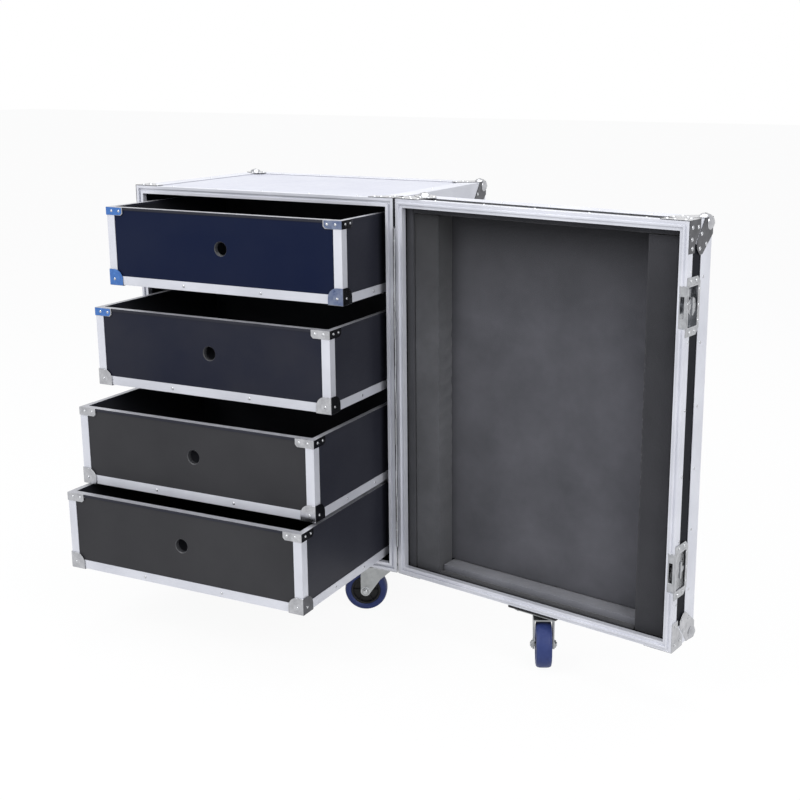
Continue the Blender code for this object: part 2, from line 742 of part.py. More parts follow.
def caster_mount(on_board):
    """What a caster is bolted up with, in its frame, where z = 0 is the underside of the
    edging: a plate and a race below the corner plates, or a black board and a plate."""
    board_x, board_y = BOARD
    plate_x, plate_y, plate_t = PLATE
    top = -GAP if on_board else -(2 * GAP + STEEL_T)
    plate_low = -MOUNT_DROP if on_board else top - plate_t
    plate_high = plate_low + plate_t
    x, y, cut = plate_x / 2, plate_y / 2, PLATE_CHAMFER
    outline = [(cut - x, -y), (x - cut, -y), (x, cut - y), (x, y - cut),
               (x - cut, y), (cut - x, y), (-x, y - cut), (-x, cut - y)]
    plate = extruded(outline, plate_t, Matrix.Translation((0, 0, plate_low)))
    if on_board:
        base = box((-board_x / 2, -board_y / 2, plate_high - SEAT), (board_x / 2, board_y / 2, top))
    else:
        base = cylinder(RACE_R, -MOUNT_DROP, plate_low + SEAT, 20)
    bolts = [
        cylinder(BOLT_R, plate_low - BOLT_H, plate_low + SEAT, 6,
                 Matrix.Translation((sx * BOLT_AT[0], sy * BOLT_AT[1], 0)))
        for sx in (-1, 1) for sy in (-1, 1)
    ]
    return carved(plate, ("UNION", base), ("UNION", together(*bolts)))


def head_top():
    """The height of the swivel head's top, just under what is fixed."""
    return -(MOUNT_DROP + GAP)


def caster_fork():
    """The swivel head, crown and two blades, clamped by the axle bolt. It swivels on local
    Z, and the wheel trails along +X."""
    axle_z = -(CASTER_H - WHEEL_R)
    blade_top = head_top() - HEAD_H
    inner = WHEEL_W / 2 + FORK_CLEAR
    outer = inner + FORK_T
    nose_x = CASTER_TRAIL + FORK_NOSE_R
    arc = [math.radians(-30 * i) for i in range(6)]
    blade = [(-FORK_REAR, blade_top), (nose_x, blade_top)]
    blade += [(CASTER_TRAIL + FORK_NOSE_R * math.cos(t), axle_z + FORK_NOSE_R * math.sin(t))
              for t in arc]
    heel_x, heel_z = FORK_HEEL
    blade += [(CASTER_TRAIL / 8, (blade_top + axle_z) / 2), (heel_x - FORK_REAR, blade_top - heel_z)]
    near = extruded(blade, FORK_T, axes((0, -outer, 0), X, Z, Y))
    far = extruded(blade, FORK_T, axes((0, inner, 0), X, Z, Y))
    crown = box((-FORK_REAR + SEAT, -inner - SEAT, blade_top - SEAT - FORK_T),
                (nose_x - SEAT, inner + SEAT, blade_top - SEAT))
    head = cylinder(HEAD_R, blade_top - FORK_T / 2, head_top(), 20)
    along_y = axes((CASTER_TRAIL, 0, axle_z), X, -Z, Y)
    shank = cylinder(AXLE_R, -outer - SEAT, outer + SEAT, 12, along_y)
    heads = [cylinder(AXLE_HEAD_R, low, low + AXLE_HEAD_T, 6, along_y)
             for low in (-outer - AXLE_HEAD_T + SEAT, outer - SEAT)]
    return carved(crown, ("UNION", together(near, far)), ("UNION", head), ("UNION", shank),
                  ("UNION", together(*heads)))


def caster_wheel():
    """A tyre bonded to a dished core, turning on local Y, with a facet flat on the floor."""
    half, rim, bore = WHEEL_W / 2, WHEEL_R - TYRE_T, AXLE_R + GAP
    dish = half - WHEEL_DISH
    flat = Matrix.Rotation(math.pi / WHEEL_STEPS, 4, "Z")
    edge = [(WHEEL_R, half - TREAD_EDGE), (WHEEL_R - TREAD_FALL, half - RIM_STEP),
            (rim + TYRE_SHOULDER, half), (rim, half - RIM_STEP), (rim - RIM_STEP, half - RIM_STEP),
            (rim - 2 * RIM_STEP, dish), (HUB_R + TREAD_FALL, dish), (HUB_R, half), (bore, half)]
    profile = edge[::-1] + [(r, -h) for r, h in edge]
    return turned(profile, WHEEL_STEPS, axes((0, 0, 0), X, -Z, Y) @ flat)


def foam_lining():
    """Charcoal foam in the door: a back sheet, four boards round the rim and a deep block
    down each side, with pockets for the latch pans."""
    left, right = HINGE_OUT, HINGE_OUT + CASE_W
    back = DOOR_D - PANEL_IN - FOAM_GAP
    wall = PANEL_IN + FOAM_GAP
    low, high = wall, CASE_H - wall
    board_in = wall + FOAM_T
    sheet_front = back - FOAM_BACK_T
    block_front = FOAM_FRONT + FOAM_STEP
    lining = box((left + wall, FOAM_FRONT, low), (right - wall, back, high))
    before_blocks = box((left + board_in, FOAM_FRONT - PAST, low + FOAM_T),
                        (right - board_in, block_front, high - FOAM_T))
    hollow = box((left + FOAM_BLOCK_EDGE, block_front - PAST, low + FOAM_T),
                 (right - FOAM_BLOCK_EDGE, sheet_front, high - FOAM_T))
    pockets = together(*[latch_hole(right, 0.0, z) for z in LATCH_Z])
    return carved(lining, ("DIFFERENCE", before_blocks), ("DIFFERENCE", hollow),
                  ("DIFFERENCE", pockets))


def pressed_panel(half_width, inner, outer, bare_width):
    """A lying panel between its inner and outer face. The rivets press its rim in by RIM_PRESS
    under the metal, so the bare middle of its outer face stands free."""
    outwards = math.copysign(1.0, outer - inner)
    rim = outer - outwards * RIM_PRESS
    within = inner + outwards * SEAT
    sheet = box((-half_width, FRONT + FRAME_BLOCK + GAP, min(inner, rim)),
                (half_width, BACK - PANEL_INSET, max(inner, rim)))
    middle = box((SEAT - bare_width, FRONT + BRACE_DEPTH + SEAT, min(within, outer)),
                 (bare_width - SEAT, BACK - LEAF_REACH - SEAT, max(within, outer)))
    return carved(sheet, ("UNION", middle))


def build_case(case):
    """Panels, frame, edging, corners and everything else that is fixed to the case."""
    low, high = PANEL_INSET, CASE_H - PANEL_INSET
    inner = SIDE - PANEL_IN - GAP
    start = FRONT + FRAME_BLOCK + GAP
    end = BACK - PANEL_INSET
    top_low = CASE_H - PANEL_IN
    top = pressed_panel(inner, top_low, high, SIDE - EDGE_LEG)
    piece("case_top_panel", top, "top_laminate", case)
    between_wheels = SIDE - CASTER_INSET[0] - CASTER_TRAIL - WHEEL_R
    bottom = pressed_panel(inner, PANEL_IN, low, between_wheels)
    piece("case_bottom_panel", bottom, "laminate", case)
    back_panel = box((-inner, BACK - PANEL_IN, PANEL_IN + GAP), (inner, end, top_low - GAP))
    piece("case_back_panel", back_panel, "laminate", case)
    handle_z = handle_height()
    keeper_holes = together(*[latch_hole(-SIDE, FRONT, z) for z in LATCH_Z])
    for name, s in (("case_left_panel", -1), ("case_right_panel", 1)):
        near, far = sorted((s * (SIDE - PANEL_INSET), s * (SIDE - PANEL_IN)))
        cuts = [("DIFFERENCE", handle_hole(s * SIDE, handle_z))]
        if s < 0:
            cuts.append(("DIFFERENCE", keeper_holes))
        piece(name, carved(box((near, start, low), (far, end, high)), *cuts), "laminate", case)
    keeper = latch_dish(-SEAT)
    keepers = [transformed(keeper, axes((-SIDE, FRONT, z), -X, Y, -Z)) for z in LATCH_Z]
    frame = closure_frame(-SIDE, FRONT, False, keeper_holes, [together(*keepers)])
    piece("case_closure_frame", frame, "aluminium", case)
    piece("case_edging", edging(-SIDE, FRONT, CASE_D), "aluminium", case, smooth=True)
    build_runners(case)
    build_case_hinge(case)
    build_handles(case, handle_z)
    mount = caster_mount(False)
    for name, (x, y) in caster_places().items():
        at = Matrix.Translation((x, y, 0))
        piece(name + "_caster_plate", transformed(mount, at), "zinc", case)


def handle_height():
    """Midway between the shelves of the third and fourth drawers."""
    levels = drawer_levels()
    return (levels[2] + SHELF_FLANGE + levels[3]) / 2


def build_runners(case):
    """A steel shelf angle with a slide's outer rail on it, on each side under each drawer. The
    shelves start behind the pans of the latch keepers."""
    wall, inner = SIDE - PANEL_IN - GAP, slide_middle() - SLIDE_W / 2
    start = FRONT + LATCH_PAN[0] + 2 * GAP
    end = BACK - PANEL_IN - SHELF_BACK
    rail_start = FRONT + DRAWER_RECESS + SLIDE_SETBACK
    for number, level in enumerate(drawer_levels(), start=1):
        top = level - PANEL_INSET
        section = [(inner, top - SHELF_T), (wall, top - SHELF_T), (wall, top + SHELF_FLANGE),
                   (wall - SHELF_T, top + SHELF_FLANGE), (wall - SHELF_T, top), (inner, top)]
        for side, s in (("left", -1), ("right", 1)):
            shelf = extruded(section, end - start, axes((0, start, 0), s * X, Z, Y))
            runner = carved(shelf, ("UNION", slide_rail("outer", s, rail_start, top)))
            piece(f"drawer_{number}_{side}_runner", runner, "black_steel", case)


def build_case_hinge(case):
    """The fixed leaf and the pin, on the right front edge."""
    leaf = hinge_leaf(0, -HINGE_R, -HINGE_R + HINGE_LEAF_T)
    pin = cylinder(HINGE_PIN_R, HINGE_MARGIN, CASE_H - HINGE_MARGIN, 10)
    at = Matrix.Translation((SIDE + HINGE_OUT, FRONT, 0))
    piece("case_hinge_leaf", transformed(carved(leaf, ("UNION", pin)), at), "aluminium", case)


def build_handles(case, handle_z):
    bail = handle_bail()
    dish = pan(HANDLE_FLANGE, HANDLE_PAN, HANDLE_DEPTH, False)
    for name, s in (("left_handle", -1), ("right_handle", 1)):
        at = axes((s * SIDE, 0, handle_z), s * X, Y, s * Z)
        piece(name + "_dish", transformed(dish, at), "zinc", case)
        pivot = (s * (SIDE - HANDLE_ROD_DEEP), 0, handle_z + HANDLE_PIVOT)
        piece(name, bail, "zinc", empty(name + "_pivot", case, pivot), smooth=True)


def caster_places():
    x, y = SIDE - CASTER_INSET[0], CASE_D / 2 - CASTER_INSET[1]
    return {"front_left": (-x, -y), "front_right": (x, -y), "back_left": (-x, y), "back_right": (x, y)}


def build_caster(name, parent, place, turn, fork, wheel):
    swivel = empty(name + "_swivel", parent, (*place, 0), turn)
    piece(name + "_fork", fork, "zinc", swivel)
    axle = empty(name + "_axle", swivel, (CASTER_TRAIL, 0, -(CASTER_H - WHEEL_R)))
    piece(name + "_wheel", wheel, "tyre", axle, smooth=True)


def build_drawers(case):
    carcass, metalwork = drawer_box(), drawer_edging()
    middles = {side: slide_rail("middle", s, 0.0, 0.0) for side, s in (("left", -1), ("right", 1))}
    for number, (level, out) in enumerate(zip(drawer_levels(), DRAWER_OUT), start=1):
        name = f"drawer_{number}"
        frame = empty(name, case, (0, FRONT - out, level))
        piece(name + "_box", carcass, "drawer_laminate", frame)
        piece(name + "_edging", metalwork, "aluminium", frame)
        travel = out + DRAWER_RECESS
        start = FRONT + DRAWER_RECESS + SLIDE_SETBACK - travel / 2
        half_way = empty(name + "_slides", case, (0, start, level - PANEL_INSET))
        for side, middle in middles.items():
            piece(f"{name}_{side}_middle_rail", middle, "zinc", half_way)


def build_door(case, fork, wheel):
    """The door in its own frame: local X along its width from the hinge pin, Y through its
    depth from the plane where it meets the case, Z up."""
    door = empty("door", case, (SIDE + HINGE_OUT, FRONT, 0), DOOR_ANGLE - math.pi)
    left, right = HINGE_OUT, HINGE_OUT + CASE_W
    low, high = PANEL_INSET, CASE_H - PANEL_INSET
    start = FRAME_BLOCK + GAP
    holes = together(*[latch_hole(right, 0.0, z) for z in LATCH_Z])
    block = box((left + PANEL_INSET, start, low), (right - PANEL_INSET, DOOR_D - PANEL_INSET, high))
    inside = box((left + PANEL_IN, start - PAST, PANEL_IN),
                 (right - PANEL_IN, DOOR_D - PANEL_IN, CASE_H - PANEL_IN))
    shell = carved(block, ("DIFFERENCE", inside), ("DIFFERENCE", holes))
    piece("door_shell", shell, "laminate", door)
    piece("door_closure_frame", closure_frame(left, 0.0, True, holes), "aluminium", door)
    piece("door_edging", edging(left, 0.0, DOOR_D), "aluminium", door, smooth=True)
    piece("door_foam_lining", foam_lining(), "foam", door)
    bore = cylinder(HINGE_PIN_R + GAP, 0.0, CASE_H, 10)
    leaf = carved(hinge_leaf(1, HINGE_R, HINGE_R - HINGE_LEAF_T), ("DIFFERENCE", bore))
    piece("door_hinge_leaf", leaf, "aluminium", door)
    dish, turn = latch_dish(GAP), latch_turn()
    for name, z in zip(("lower_latch", "upper_latch"), LATCH_Z):
        at = Matrix.Translation((right, 0, z))
        piece(name + "_dish", transformed(dish, at), "zinc", door)
        piece(name, turn, "zinc", empty(name + "_hub", door, (right, LATCH_HUB_Y, z)))
    place = (left + CASE_W / 2 + DOOR_CASTER_SHIFT, DOOR_D / 2)
    mount = transformed(caster_mount(True), Matrix.Translation((*place, 0)))
    piece("door_caster_plate", mount, "zinc", door)
    world_turn = DOOR_CASTER_TURN - (DOOR_ANGLE - math.pi)
    build_caster("door_caster", door, place, world_turn, fork, wheel)


def main():
    clear_scene()
    case = empty("flight_case", None, (0, 0, -PANEL_INSET))
    build_case(case)
    build_drawers(case)
    fork, wheel = caster_fork(), caster_wheel()
    for name, place in caster_places().items():
        build_caster(name + "_caster", case, place, CASTER_TURN[name], fork, wheel)
    build_door(case, fork, wheel)


main()
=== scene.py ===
import math

import bmesh
import bpy
from mathutils import Matrix, Vector, noise


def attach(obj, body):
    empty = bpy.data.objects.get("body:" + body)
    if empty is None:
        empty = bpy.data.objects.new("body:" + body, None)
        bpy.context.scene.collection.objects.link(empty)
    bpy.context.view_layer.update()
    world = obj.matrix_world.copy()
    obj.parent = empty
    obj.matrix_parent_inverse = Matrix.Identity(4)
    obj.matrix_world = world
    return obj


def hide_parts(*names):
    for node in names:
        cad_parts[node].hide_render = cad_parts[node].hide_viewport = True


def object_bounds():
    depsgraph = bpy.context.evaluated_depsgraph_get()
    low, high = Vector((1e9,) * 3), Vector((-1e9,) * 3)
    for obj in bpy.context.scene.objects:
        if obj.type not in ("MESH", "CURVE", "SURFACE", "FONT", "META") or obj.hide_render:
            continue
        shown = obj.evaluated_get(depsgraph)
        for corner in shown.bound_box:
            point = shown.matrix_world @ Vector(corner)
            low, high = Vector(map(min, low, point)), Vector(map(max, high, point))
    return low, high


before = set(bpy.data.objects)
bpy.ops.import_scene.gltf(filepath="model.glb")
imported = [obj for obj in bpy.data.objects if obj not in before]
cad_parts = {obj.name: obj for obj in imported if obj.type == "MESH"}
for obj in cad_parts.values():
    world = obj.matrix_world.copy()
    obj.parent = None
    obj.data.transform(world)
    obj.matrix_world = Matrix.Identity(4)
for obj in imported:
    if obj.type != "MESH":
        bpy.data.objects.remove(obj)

cad_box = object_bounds()

X, Y, Z = Vector((1, 0, 0)), Vector((0, 1, 0)), Vector((0, 0, 1))

# The case body and the fits between its pieces
CASE_W, CASE_D, CASE_H = 0.684, 0.482, 0.850
SIDE, FRONT, BACK = CASE_W / 2, -CASE_D / 2, CASE_D / 2
ALU_T, PANEL_T, STEEL_T, GAP = 0.0012, 0.009, 0.0015, 0.0003
PANEL_INSET = ALU_T + GAP
PANEL_IN = PANEL_INSET + PANEL_T
PLATE_OUT = GAP + STEEL_T
FRAME_DEPTH = 0.020
BASE = Matrix.Translation((0, 0, -PANEL_INSET))

# The door, in its own frame: X from the hinge pin, Y through its depth, Z up
DOOR_D = 0.100
DOOR_OPEN = 169.5
DOOR_TURN = math.radians(DOOR_OPEN - 180)
DOOR_LEFT = 0.0033
DOOR_RIGHT = DOOR_LEFT + CASE_W
DOOR = BASE @ Matrix.Translation((SIDE + DOOR_LEFT, FRONT, 0)) @ Matrix.Rotation(DOOR_TURN, 4, "Z")

# The drawers, from the lowest to the highest
DRAWER_W, DRAWER_H, DRAWER_D = 0.608, 0.175, 0.440
DRAWER_Z = (0.0256, 0.2082, 0.4213, 0.6407)
DRAWER_OUT = (0.3310, 0.2760, 0.2050, 0.1490)
DRAWERS = [BASE @ Matrix.Translation((0, FRONT - out, z)) for z, out in zip(DRAWER_Z, DRAWER_OUT)]
NUMBERS = (1, 2, 3, 4)
HALF = DRAWER_W / 2
BRACKET_OUT = ALU_T
HOLE_DROP, HOLE_R = 0.077, 0.015
SLIDE_X, SLIDE_W = 0.2645, 0.035
DRAWER_FLOOR = 0.0112
CUP_R, CUP_T = 0.0362, 0.0008

# Latches and handles
LATCH_Z = (0.165, 0.690)
LATCH_PAN_FRONT, LATCH_PAN_Y, LATCH_PAN_Z, LATCH_DEPTH = 0.004, 0.0475, 0.0804, 0.014
LATCH_HUB_Y = 0.027
HANDLE_Z = (DRAWER_Z[2] + 0.030 + DRAWER_Z[3]) / 2

# Casters: where each stands and the angle of its fork in degrees
WHEEL_R, WHEEL_W, WHEEL_STEPS = 0.050, 0.034, 20
TYRE_IN = 0.0345
CASTER_TRAIL, AXLE_DROP = 0.040, 0.075
CASTERS = {
    "front_left": (-0.274, -0.181, 196), "front_right": (0.274, -0.181, 204),
    "back_left": (-0.274, 0.181, 150), "back_right": (0.274, 0.181, 38),
}
DOOR_CASTER = (DOOR_LEFT + CASE_W / 2 + 0.015, DOOR_D / 2, -66 + (180 - DOOR_OPEN))

# Edges: the widths to which they are rounded, and the angles that count as an edge
NODE_EDGE, FINE_EDGE, BOARD_EDGE = 0.0003, 0.0002, 0.0004
EDGE_STEPS, EDGE_ANGLE, SMOOTH_ANGLE = 2, math.radians(30), math.radians(40)

# How near points are welded, how flat faces are merged, and how much large faces count
WELD_REACH, FLAT_ANGLE, FACE_WEIGHT = 0.00001, math.radians(0.5), 100


# Meshes

def mesh_of(bm):
    """A finished mesh with its faces turned outwards."""
    bmesh.ops.recalc_face_normals(bm, faces=bm.faces)
    mesh = bpy.data.meshes.new("piece")
    bm.to_mesh(mesh)
    bm.free()
    return mesh


def box(low, high):
    """A block between two opposite corners."""
    low, high = Vector(low), Vector(high)
    bm = bmesh.new()
    size = Matrix.Diagonal((*(high - low), 1.0))
    bmesh.ops.create_cube(bm, size=1.0, matrix=Matrix.Translation((low + high) / 2) @ size)
    return mesh_of(bm)


def axes(origin, a, b, c):
    """The matrix of a frame at an origin whose X, Y and Z run along a, b and c."""
    turn = Matrix((a, b, c)).transposed().to_4x4()
    return Matrix.Translation(Vector(origin)) @ turn


def joined(meshes, matrices):
    """Several meshes as one, each moved by its own matrix."""
    bm = bmesh.new()
    for mesh, matrix in zip(meshes, matrices):
        known = len(bm.verts)
        bm.from_mesh(mesh)
        bm.verts.ensure_lookup_table()
        bmesh.ops.transform(bm, matrix=matrix, verts=bm.verts[known:])
    return mesh_of(bm)


def turned(profile, steps, matrix=Matrix()):
    """A profile of (radius, height) points turned round local Z; a radius of 0 closes it."""
    bm = bmesh.new()
    rings = []
    angles = [2 * math.pi * i / steps for i in range(steps)]
    for radius, height in profile:
        if radius == 0:
            rings.append([bm.verts.new((0, 0, height))])
        else:
            rings.append([bm.verts.new((radius * math.cos(a), radius * math.sin(a), height))
                          for a in angles])
    closed = profile[0][0] != 0
    pairs = zip(rings, rings[1:] + rings[:1] if closed else rings[1:])
    for lower, upper in pairs:
        for i in range(steps):
            j = (i + 1) % steps
            corners = [lower[i % len(lower)], lower[j % len(lower)], upper[j % len(upper)],
                       upper[i % len(upper)]]
            bm.faces.new(list(dict.fromkeys(corners)))
    bmesh.ops.transform(bm, matrix=matrix, verts=bm.verts)
    return mesh_of(bm)


def mirrored_profile(side):
    """A wheel's closed profile from the half that lies on one side of its middle."""
    return side + [(radius, -height) for radius, height in reversed(side)]


def extruded(points, length):
    """An outline in local XY drawn out along local Z."""
    bm = bmesh.new()
    outline = bm.faces.new([bm.verts.new((u, v, 0.0)) for u, v in points])
    drawn = bmesh.ops.extrude_face_region(bm, geom=[outline])["geom"]
    moved = [vert for vert in drawn if isinstance(vert, bmesh.types.BMVert)]
    bmesh.ops.translate(bm, verts=moved, vec=(0.0, 0.0, length))
    return mesh_of(bm)


def swept_frame(outline, section):
    """A section of (inwards, up) points carried round a closed outline in local XY."""
    bm = bmesh.new()
    count = len(outline)
    points = [Vector((u, v)) for u, v in outline]
    rings = []
    for i, point in enumerate(points):
        before = (point - points[i - 1]).normalized()
        after = (points[(i + 1) % count] - point).normalized()
        mitre = Vector((-before.y - after.y, before.x + after.x))
        mitre /= mitre.dot(Vector((-before.y, before.x)))
        rings.append([bm.verts.new((*(point + mitre * inwards), up)) for inwards, up in section])
    for ring, following in zip(rings, rings[1:] + rings[:1]):
        for i in range(len(section)):
            j = (i + 1) % len(section)
            bm.faces.new((ring[i], ring[j], following[j], following[i]))
    return mesh_of(bm)


FOAM_ROUND, FOAM_SWELL, FOAM_SINK = 0.0028, 0.0009, 0.0002
LONG_WAVE, SHORT_WAVE = 22, 60


def foam_board(low, high, cell=0.010, folds=None):
    """A cut foam board: rounded edges and faces that waver; folds adds creases to one face."""
    bm = bmesh.new()
    bm.from_mesh(box(low, high))
    bmesh.ops.bevel(bm, geom=list(bm.edges), offset=FOAM_ROUND, segments=2, profile=0.6, affect="EDGES")
    for axis in range(3):
        span = high[axis] - low[axis]
        cuts = max(1, int(span / cell))
        for i in range(1, cuts):
            plane = Vector((0, 0, 0))
            plane[axis] = low[axis] + span * i / cuts
            normal = Vector((0, 0, 0))
            normal[axis] = 1
            geometry = list(bm.verts) + list(bm.edges) + list(bm.faces)
            bmesh.ops.bisect_plane(bm, geom=geometry, plane_co=plane, plane_no=normal)
    bm.normal_update()
    moves = []
    for vert in bm.verts:
        wave = noise.noise(vert.co * LONG_WAVE) + 0.5 * noise.noise(vert.co * SHORT_WAVE)
        drop = FOAM_SWELL * (0.5 + 0.5 * wave) + FOAM_SINK
        if folds:
            drop += folds(vert.co, vert.normal)
        moves.append(vert.normal * -drop)
    for vert, move in zip(bm.verts, moves):
        vert.co += move
    return mesh_of(bm)


# Pieces and finishes

def rounded_edges(made, width):
    """Gives an object's hard edges a small round."""
    rounded = made.modifiers.new("edges", "BEVEL")
    rounded.width = width
    rounded.segments = EDGE_STEPS
    rounded.limit_method = "ANGLE"
    rounded.angle_limit = EDGE_ANGLE
    return rounded


def piece(name, mesh, material, body, place, edge=0.0):
    """A piece of the dressed model in the frame that place gives, riding on a body. Its hard
    edges are rounded to a width, or stay sharp where that is 0."""
    made = bpy.data.objects.new(name, mesh)
    bpy.context.scene.collection.objects.link(made)
    made.matrix_world = place
    mesh.materials.append(material)
    mesh.shade_smooth()
    if edge:
        rounded_edges(made, edge).harden_normals = True
    else:
        mesh.set_sharp_from_angle(angle=SMOOTH_ANGLE)
    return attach(made, body)


def dress_node(name, materials, edge=NODE_EDGE, place=None, choose=None):
    """A CAD node's finish, with its hard edges rounded a little. Where choose is given, it
    picks each face's material by where the face lies in the frame that place gives."""
    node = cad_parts[name]
    node.data.materials.clear()
    for material in materials:
        node.data.materials.append(material)
    into = place.inverted() if choose else None
    for polygon in node.data.polygons:
        if choose:
            normal = into.to_3x3() @ polygon.normal
            polygon.material_index = choose(into @ polygon.center, normal)
        else:
            polygon.material_index = 0
    weld = node.modifiers.new("weld", "WELD")
    weld.merge_threshold = WELD_REACH
    flat = node.modifiers.new("flat", "DECIMATE")
    flat.decimate_type = "DISSOLVE"
    flat.angle_limit = FLAT_ANGLE
    flat.delimit = {"MATERIAL"}
    rounded_edges(node, edge)
    level = node.modifiers.new("level", "WEIGHTED_NORMAL")
    level.weight = FACE_WEIGHT
    node.data.shade_smooth()


# Materials

def new_material(name, colour, roughness, metallic=0.0, specular=0.5):
    """A plain material, with the node tree and the shader that add to it."""
    made = bpy.data.materials.new(name)
    made.use_nodes = True
    shader = made.node_tree.nodes["Principled BSDF"]
    shader.inputs["Base Color"].default_value = (*colour, 1.0)
    shader.inputs["Roughness"].default_value = roughness
    shader.inputs["Metallic"].default_value = metallic
    shader.inputs["Specular IOR Level"].default_value = specular
    return made, made.node_tree, shader


def texture(tree, kind, scale, stretch=(1, 1, 1), **sockets):
    """A texture node read in the piece's own coordinates, stretched along its axes."""
    where = tree.nodes.new("ShaderNodeTexCoord")
    mapping = tree.nodes.new("ShaderNodeMapping")
    mapping.inputs["Scale"].default_value = stretch
    made = tree.nodes.new(kind)
    made.inputs["Scale"].default_value = scale
    for name, value in sockets.items():
        made.inputs[name].default_value = value
    tree.links.new(where.outputs["Object"], mapping.inputs["Vector"])
    tree.links.new(mapping.outputs["Vector"], made.inputs["Vector"])
    return made


def spread(tree, value, low, high, at=(0.3, 0.7)):
    """A texture's value mapped to a range."""
    made = tree.nodes.new("ShaderNodeMapRange")
    made.inputs["From Min"].default_value, made.inputs["From Max"].default_value = at
    made.inputs["To Min"].default_value, made.inputs["To Max"].default_value = low, high
    tree.links.new(value, made.inputs["Value"])
    return made.outputs["Result"]


def blend_colour(tree, factor, a, b):
    """Two colours mixed by a value; each is a colour or another node's output."""
    made = tree.nodes.new("ShaderNodeMix")
    made.data_type = "RGBA"
    for socket, colour in (("A", a), ("B", b)):
        if isinstance(colour, bpy.types.NodeSocket):
            tree.links.new(colour, made.inputs[socket])
        else:
            made.inputs[socket].default_value = (*colour, 1.0)
    tree.links.new(factor, made.inputs["Factor"])
    return made.outputs["Result"]


def cloudy(tree, shader, cloud, a, b):
    """A base colour that drifts between two tones with a noise texture."""
    tone = blend_colour(tree, spread(tree, cloud.outputs["Fac"], 0, 1), a, b)
    tree.links.new(tone, shader.inputs["Base Color"])
    return tone


def worn(tree, shader, marks, smoothest, roughest):
    """A roughness that follows a noise texture."""
    tree.links.new(spread(tree, marks.outputs["Fac"], smoothest, roughest), shader.inputs["Roughness"])


def bump(tree, shader, height, strength, distance):
    """A surface relief that follows a texture."""
    made = tree.nodes.new("ShaderNodeBump")
    made.inputs["Strength"].default_value = strength
    made.inputs["Distance"].default_value = distance
    tree.links.new(height, made.inputs["Height"])
    tree.links.new(made.outputs["Normal"], shader.inputs["Normal"])


def aluminium(axis, dark=(0.53, 0.54, 0.59), light=(0.63, 0.64, 0.69)):
    """Satin extrusion: die lines run along its length."""
    made, tree, shader = new_material(f"aluminium_{axis}", light, 0.36, 0.30)
    stretch = [600.0 if letter != axis else 3.0 for letter in "xyz"]
    lines = texture(tree, "ShaderNodeTexNoise", 1.0, stretch, Detail=3.0, Roughness=0.7)
    cloud = texture(tree, "ShaderNodeTexNoise", 9.0, Detail=4.0)
    cloudy(tree, shader, cloud, dark, light)
    worn(tree, shader, lines, 0.32, 0.48)
    bump(tree, shader, lines.outputs["Fac"], 0.35, 0.0003)
    return made


def plated(name, colour, darker, roughness, metallic=1.0):
    """Nickel, chrome or zinc plate with a faint cloudiness and handling marks."""
    made, tree, shader = new_material(name, colour, roughness, metallic)
    cloud = texture(tree, "ShaderNodeTexNoise", 55.0, Detail=5.0, Roughness=0.6)
    spangle = texture(tree, "ShaderNodeTexVoronoi", 260.0)
    cloudy(tree, shader, cloud, darker, colour)
    worn(tree, shader, cloud, roughness - 0.05, roughness + 0.08)
    bump(tree, shader, spangle.outputs["Distance"], 0.06, 0.0002)
    return made


def laminate(name, colour, lighter, roughness, specular):
    """Satin laminate on plywood: a fine pebble grain, faint scuffs and dust."""
    made, tree, shader = new_material(name, colour, roughness, 0.0, specular)
    grain = texture(tree, "ShaderNodeTexNoise", 1400.0, Detail=2.0)
    cloud = texture(tree, "ShaderNodeTexNoise", 5.0, Detail=5.0, Roughness=0.55)
    scuffs = texture(tree, "ShaderNodeTexNoise", 60.0, (1, 1, 14), Detail=4.0, Roughness=0.75)
    cloudy(tree, shader, cloud, colour, lighter)
    worn(tree, shader, scuffs, roughness - 0.05, roughness + 0.09)
    bump(tree, shader, grain.outputs["Fac"], 0.12, 0.0003)
    return made


# Painted shade at the top of a foam piece: how dark it gets, as a share of the dark tone, and the height
# over which it fades in.
TOP_SHADE_SHARE, TOP_SHADE_FADE = 0.36, 0.22


def foam_material(name, dark, light, shade_above=None):
    """Charcoal polyether foam: open cells under a soft nap, with a little dust on it. Where
    a height is given as the last argument, the colour darkens towards it and stays dark above it:
    painted shade."""
    made, tree, shader = new_material(name, light, 0.95, 0.0, 0.15)
    shader.inputs["Sheen Weight"].default_value = 0.2
    shader.inputs["Sheen Roughness"].default_value = 0.6
    cells = texture(tree, "ShaderNodeTexVoronoi", 700.0)
    cloud = texture(tree, "ShaderNodeTexNoise", 7.0, Detail=6.0, Roughness=0.6)
    tone = cloudy(tree, shader, cloud, dark, light)
    if shade_above:
        # Painted shade: the colour darkens towards the given height.
        where = tree.nodes.new("ShaderNodeTexCoord")
        split = tree.nodes.new("ShaderNodeSeparateXYZ")
        tree.links.new(where.outputs["Object"], split.inputs["Vector"])
        top_shade = spread(tree, split.outputs["Z"], 0, 1, (shade_above - TOP_SHADE_FADE, shade_above))
        shaded_tone = blend_colour(tree, top_shade, tone, [value * TOP_SHADE_SHARE for value in dark])
        tree.links.new(shaded_tone, shader.inputs["Base Color"])
    bump(tree, shader, cells.outputs["Distance"], 0.5, 0.0006)
    return made


def rubber(name, colour, lighter, roughness, specular=0.35):
    """Rubber, moulded plastic or a powder coat: a low sheen that breaks up a little."""
    made, tree, shader = new_material(name, colour, roughness, 0.0, specular)
    cloud = texture(tree, "ShaderNodeTexNoise", 90.0, Detail=5.0)
    cloudy(tree, shader, cloud, colour, lighter)
    worn(tree, shader, cloud, roughness - 0.08, roughness + 0.12)
    bump(tree, shader, cloud.outputs["Fac"], 0.15, 0.0004)
    return made


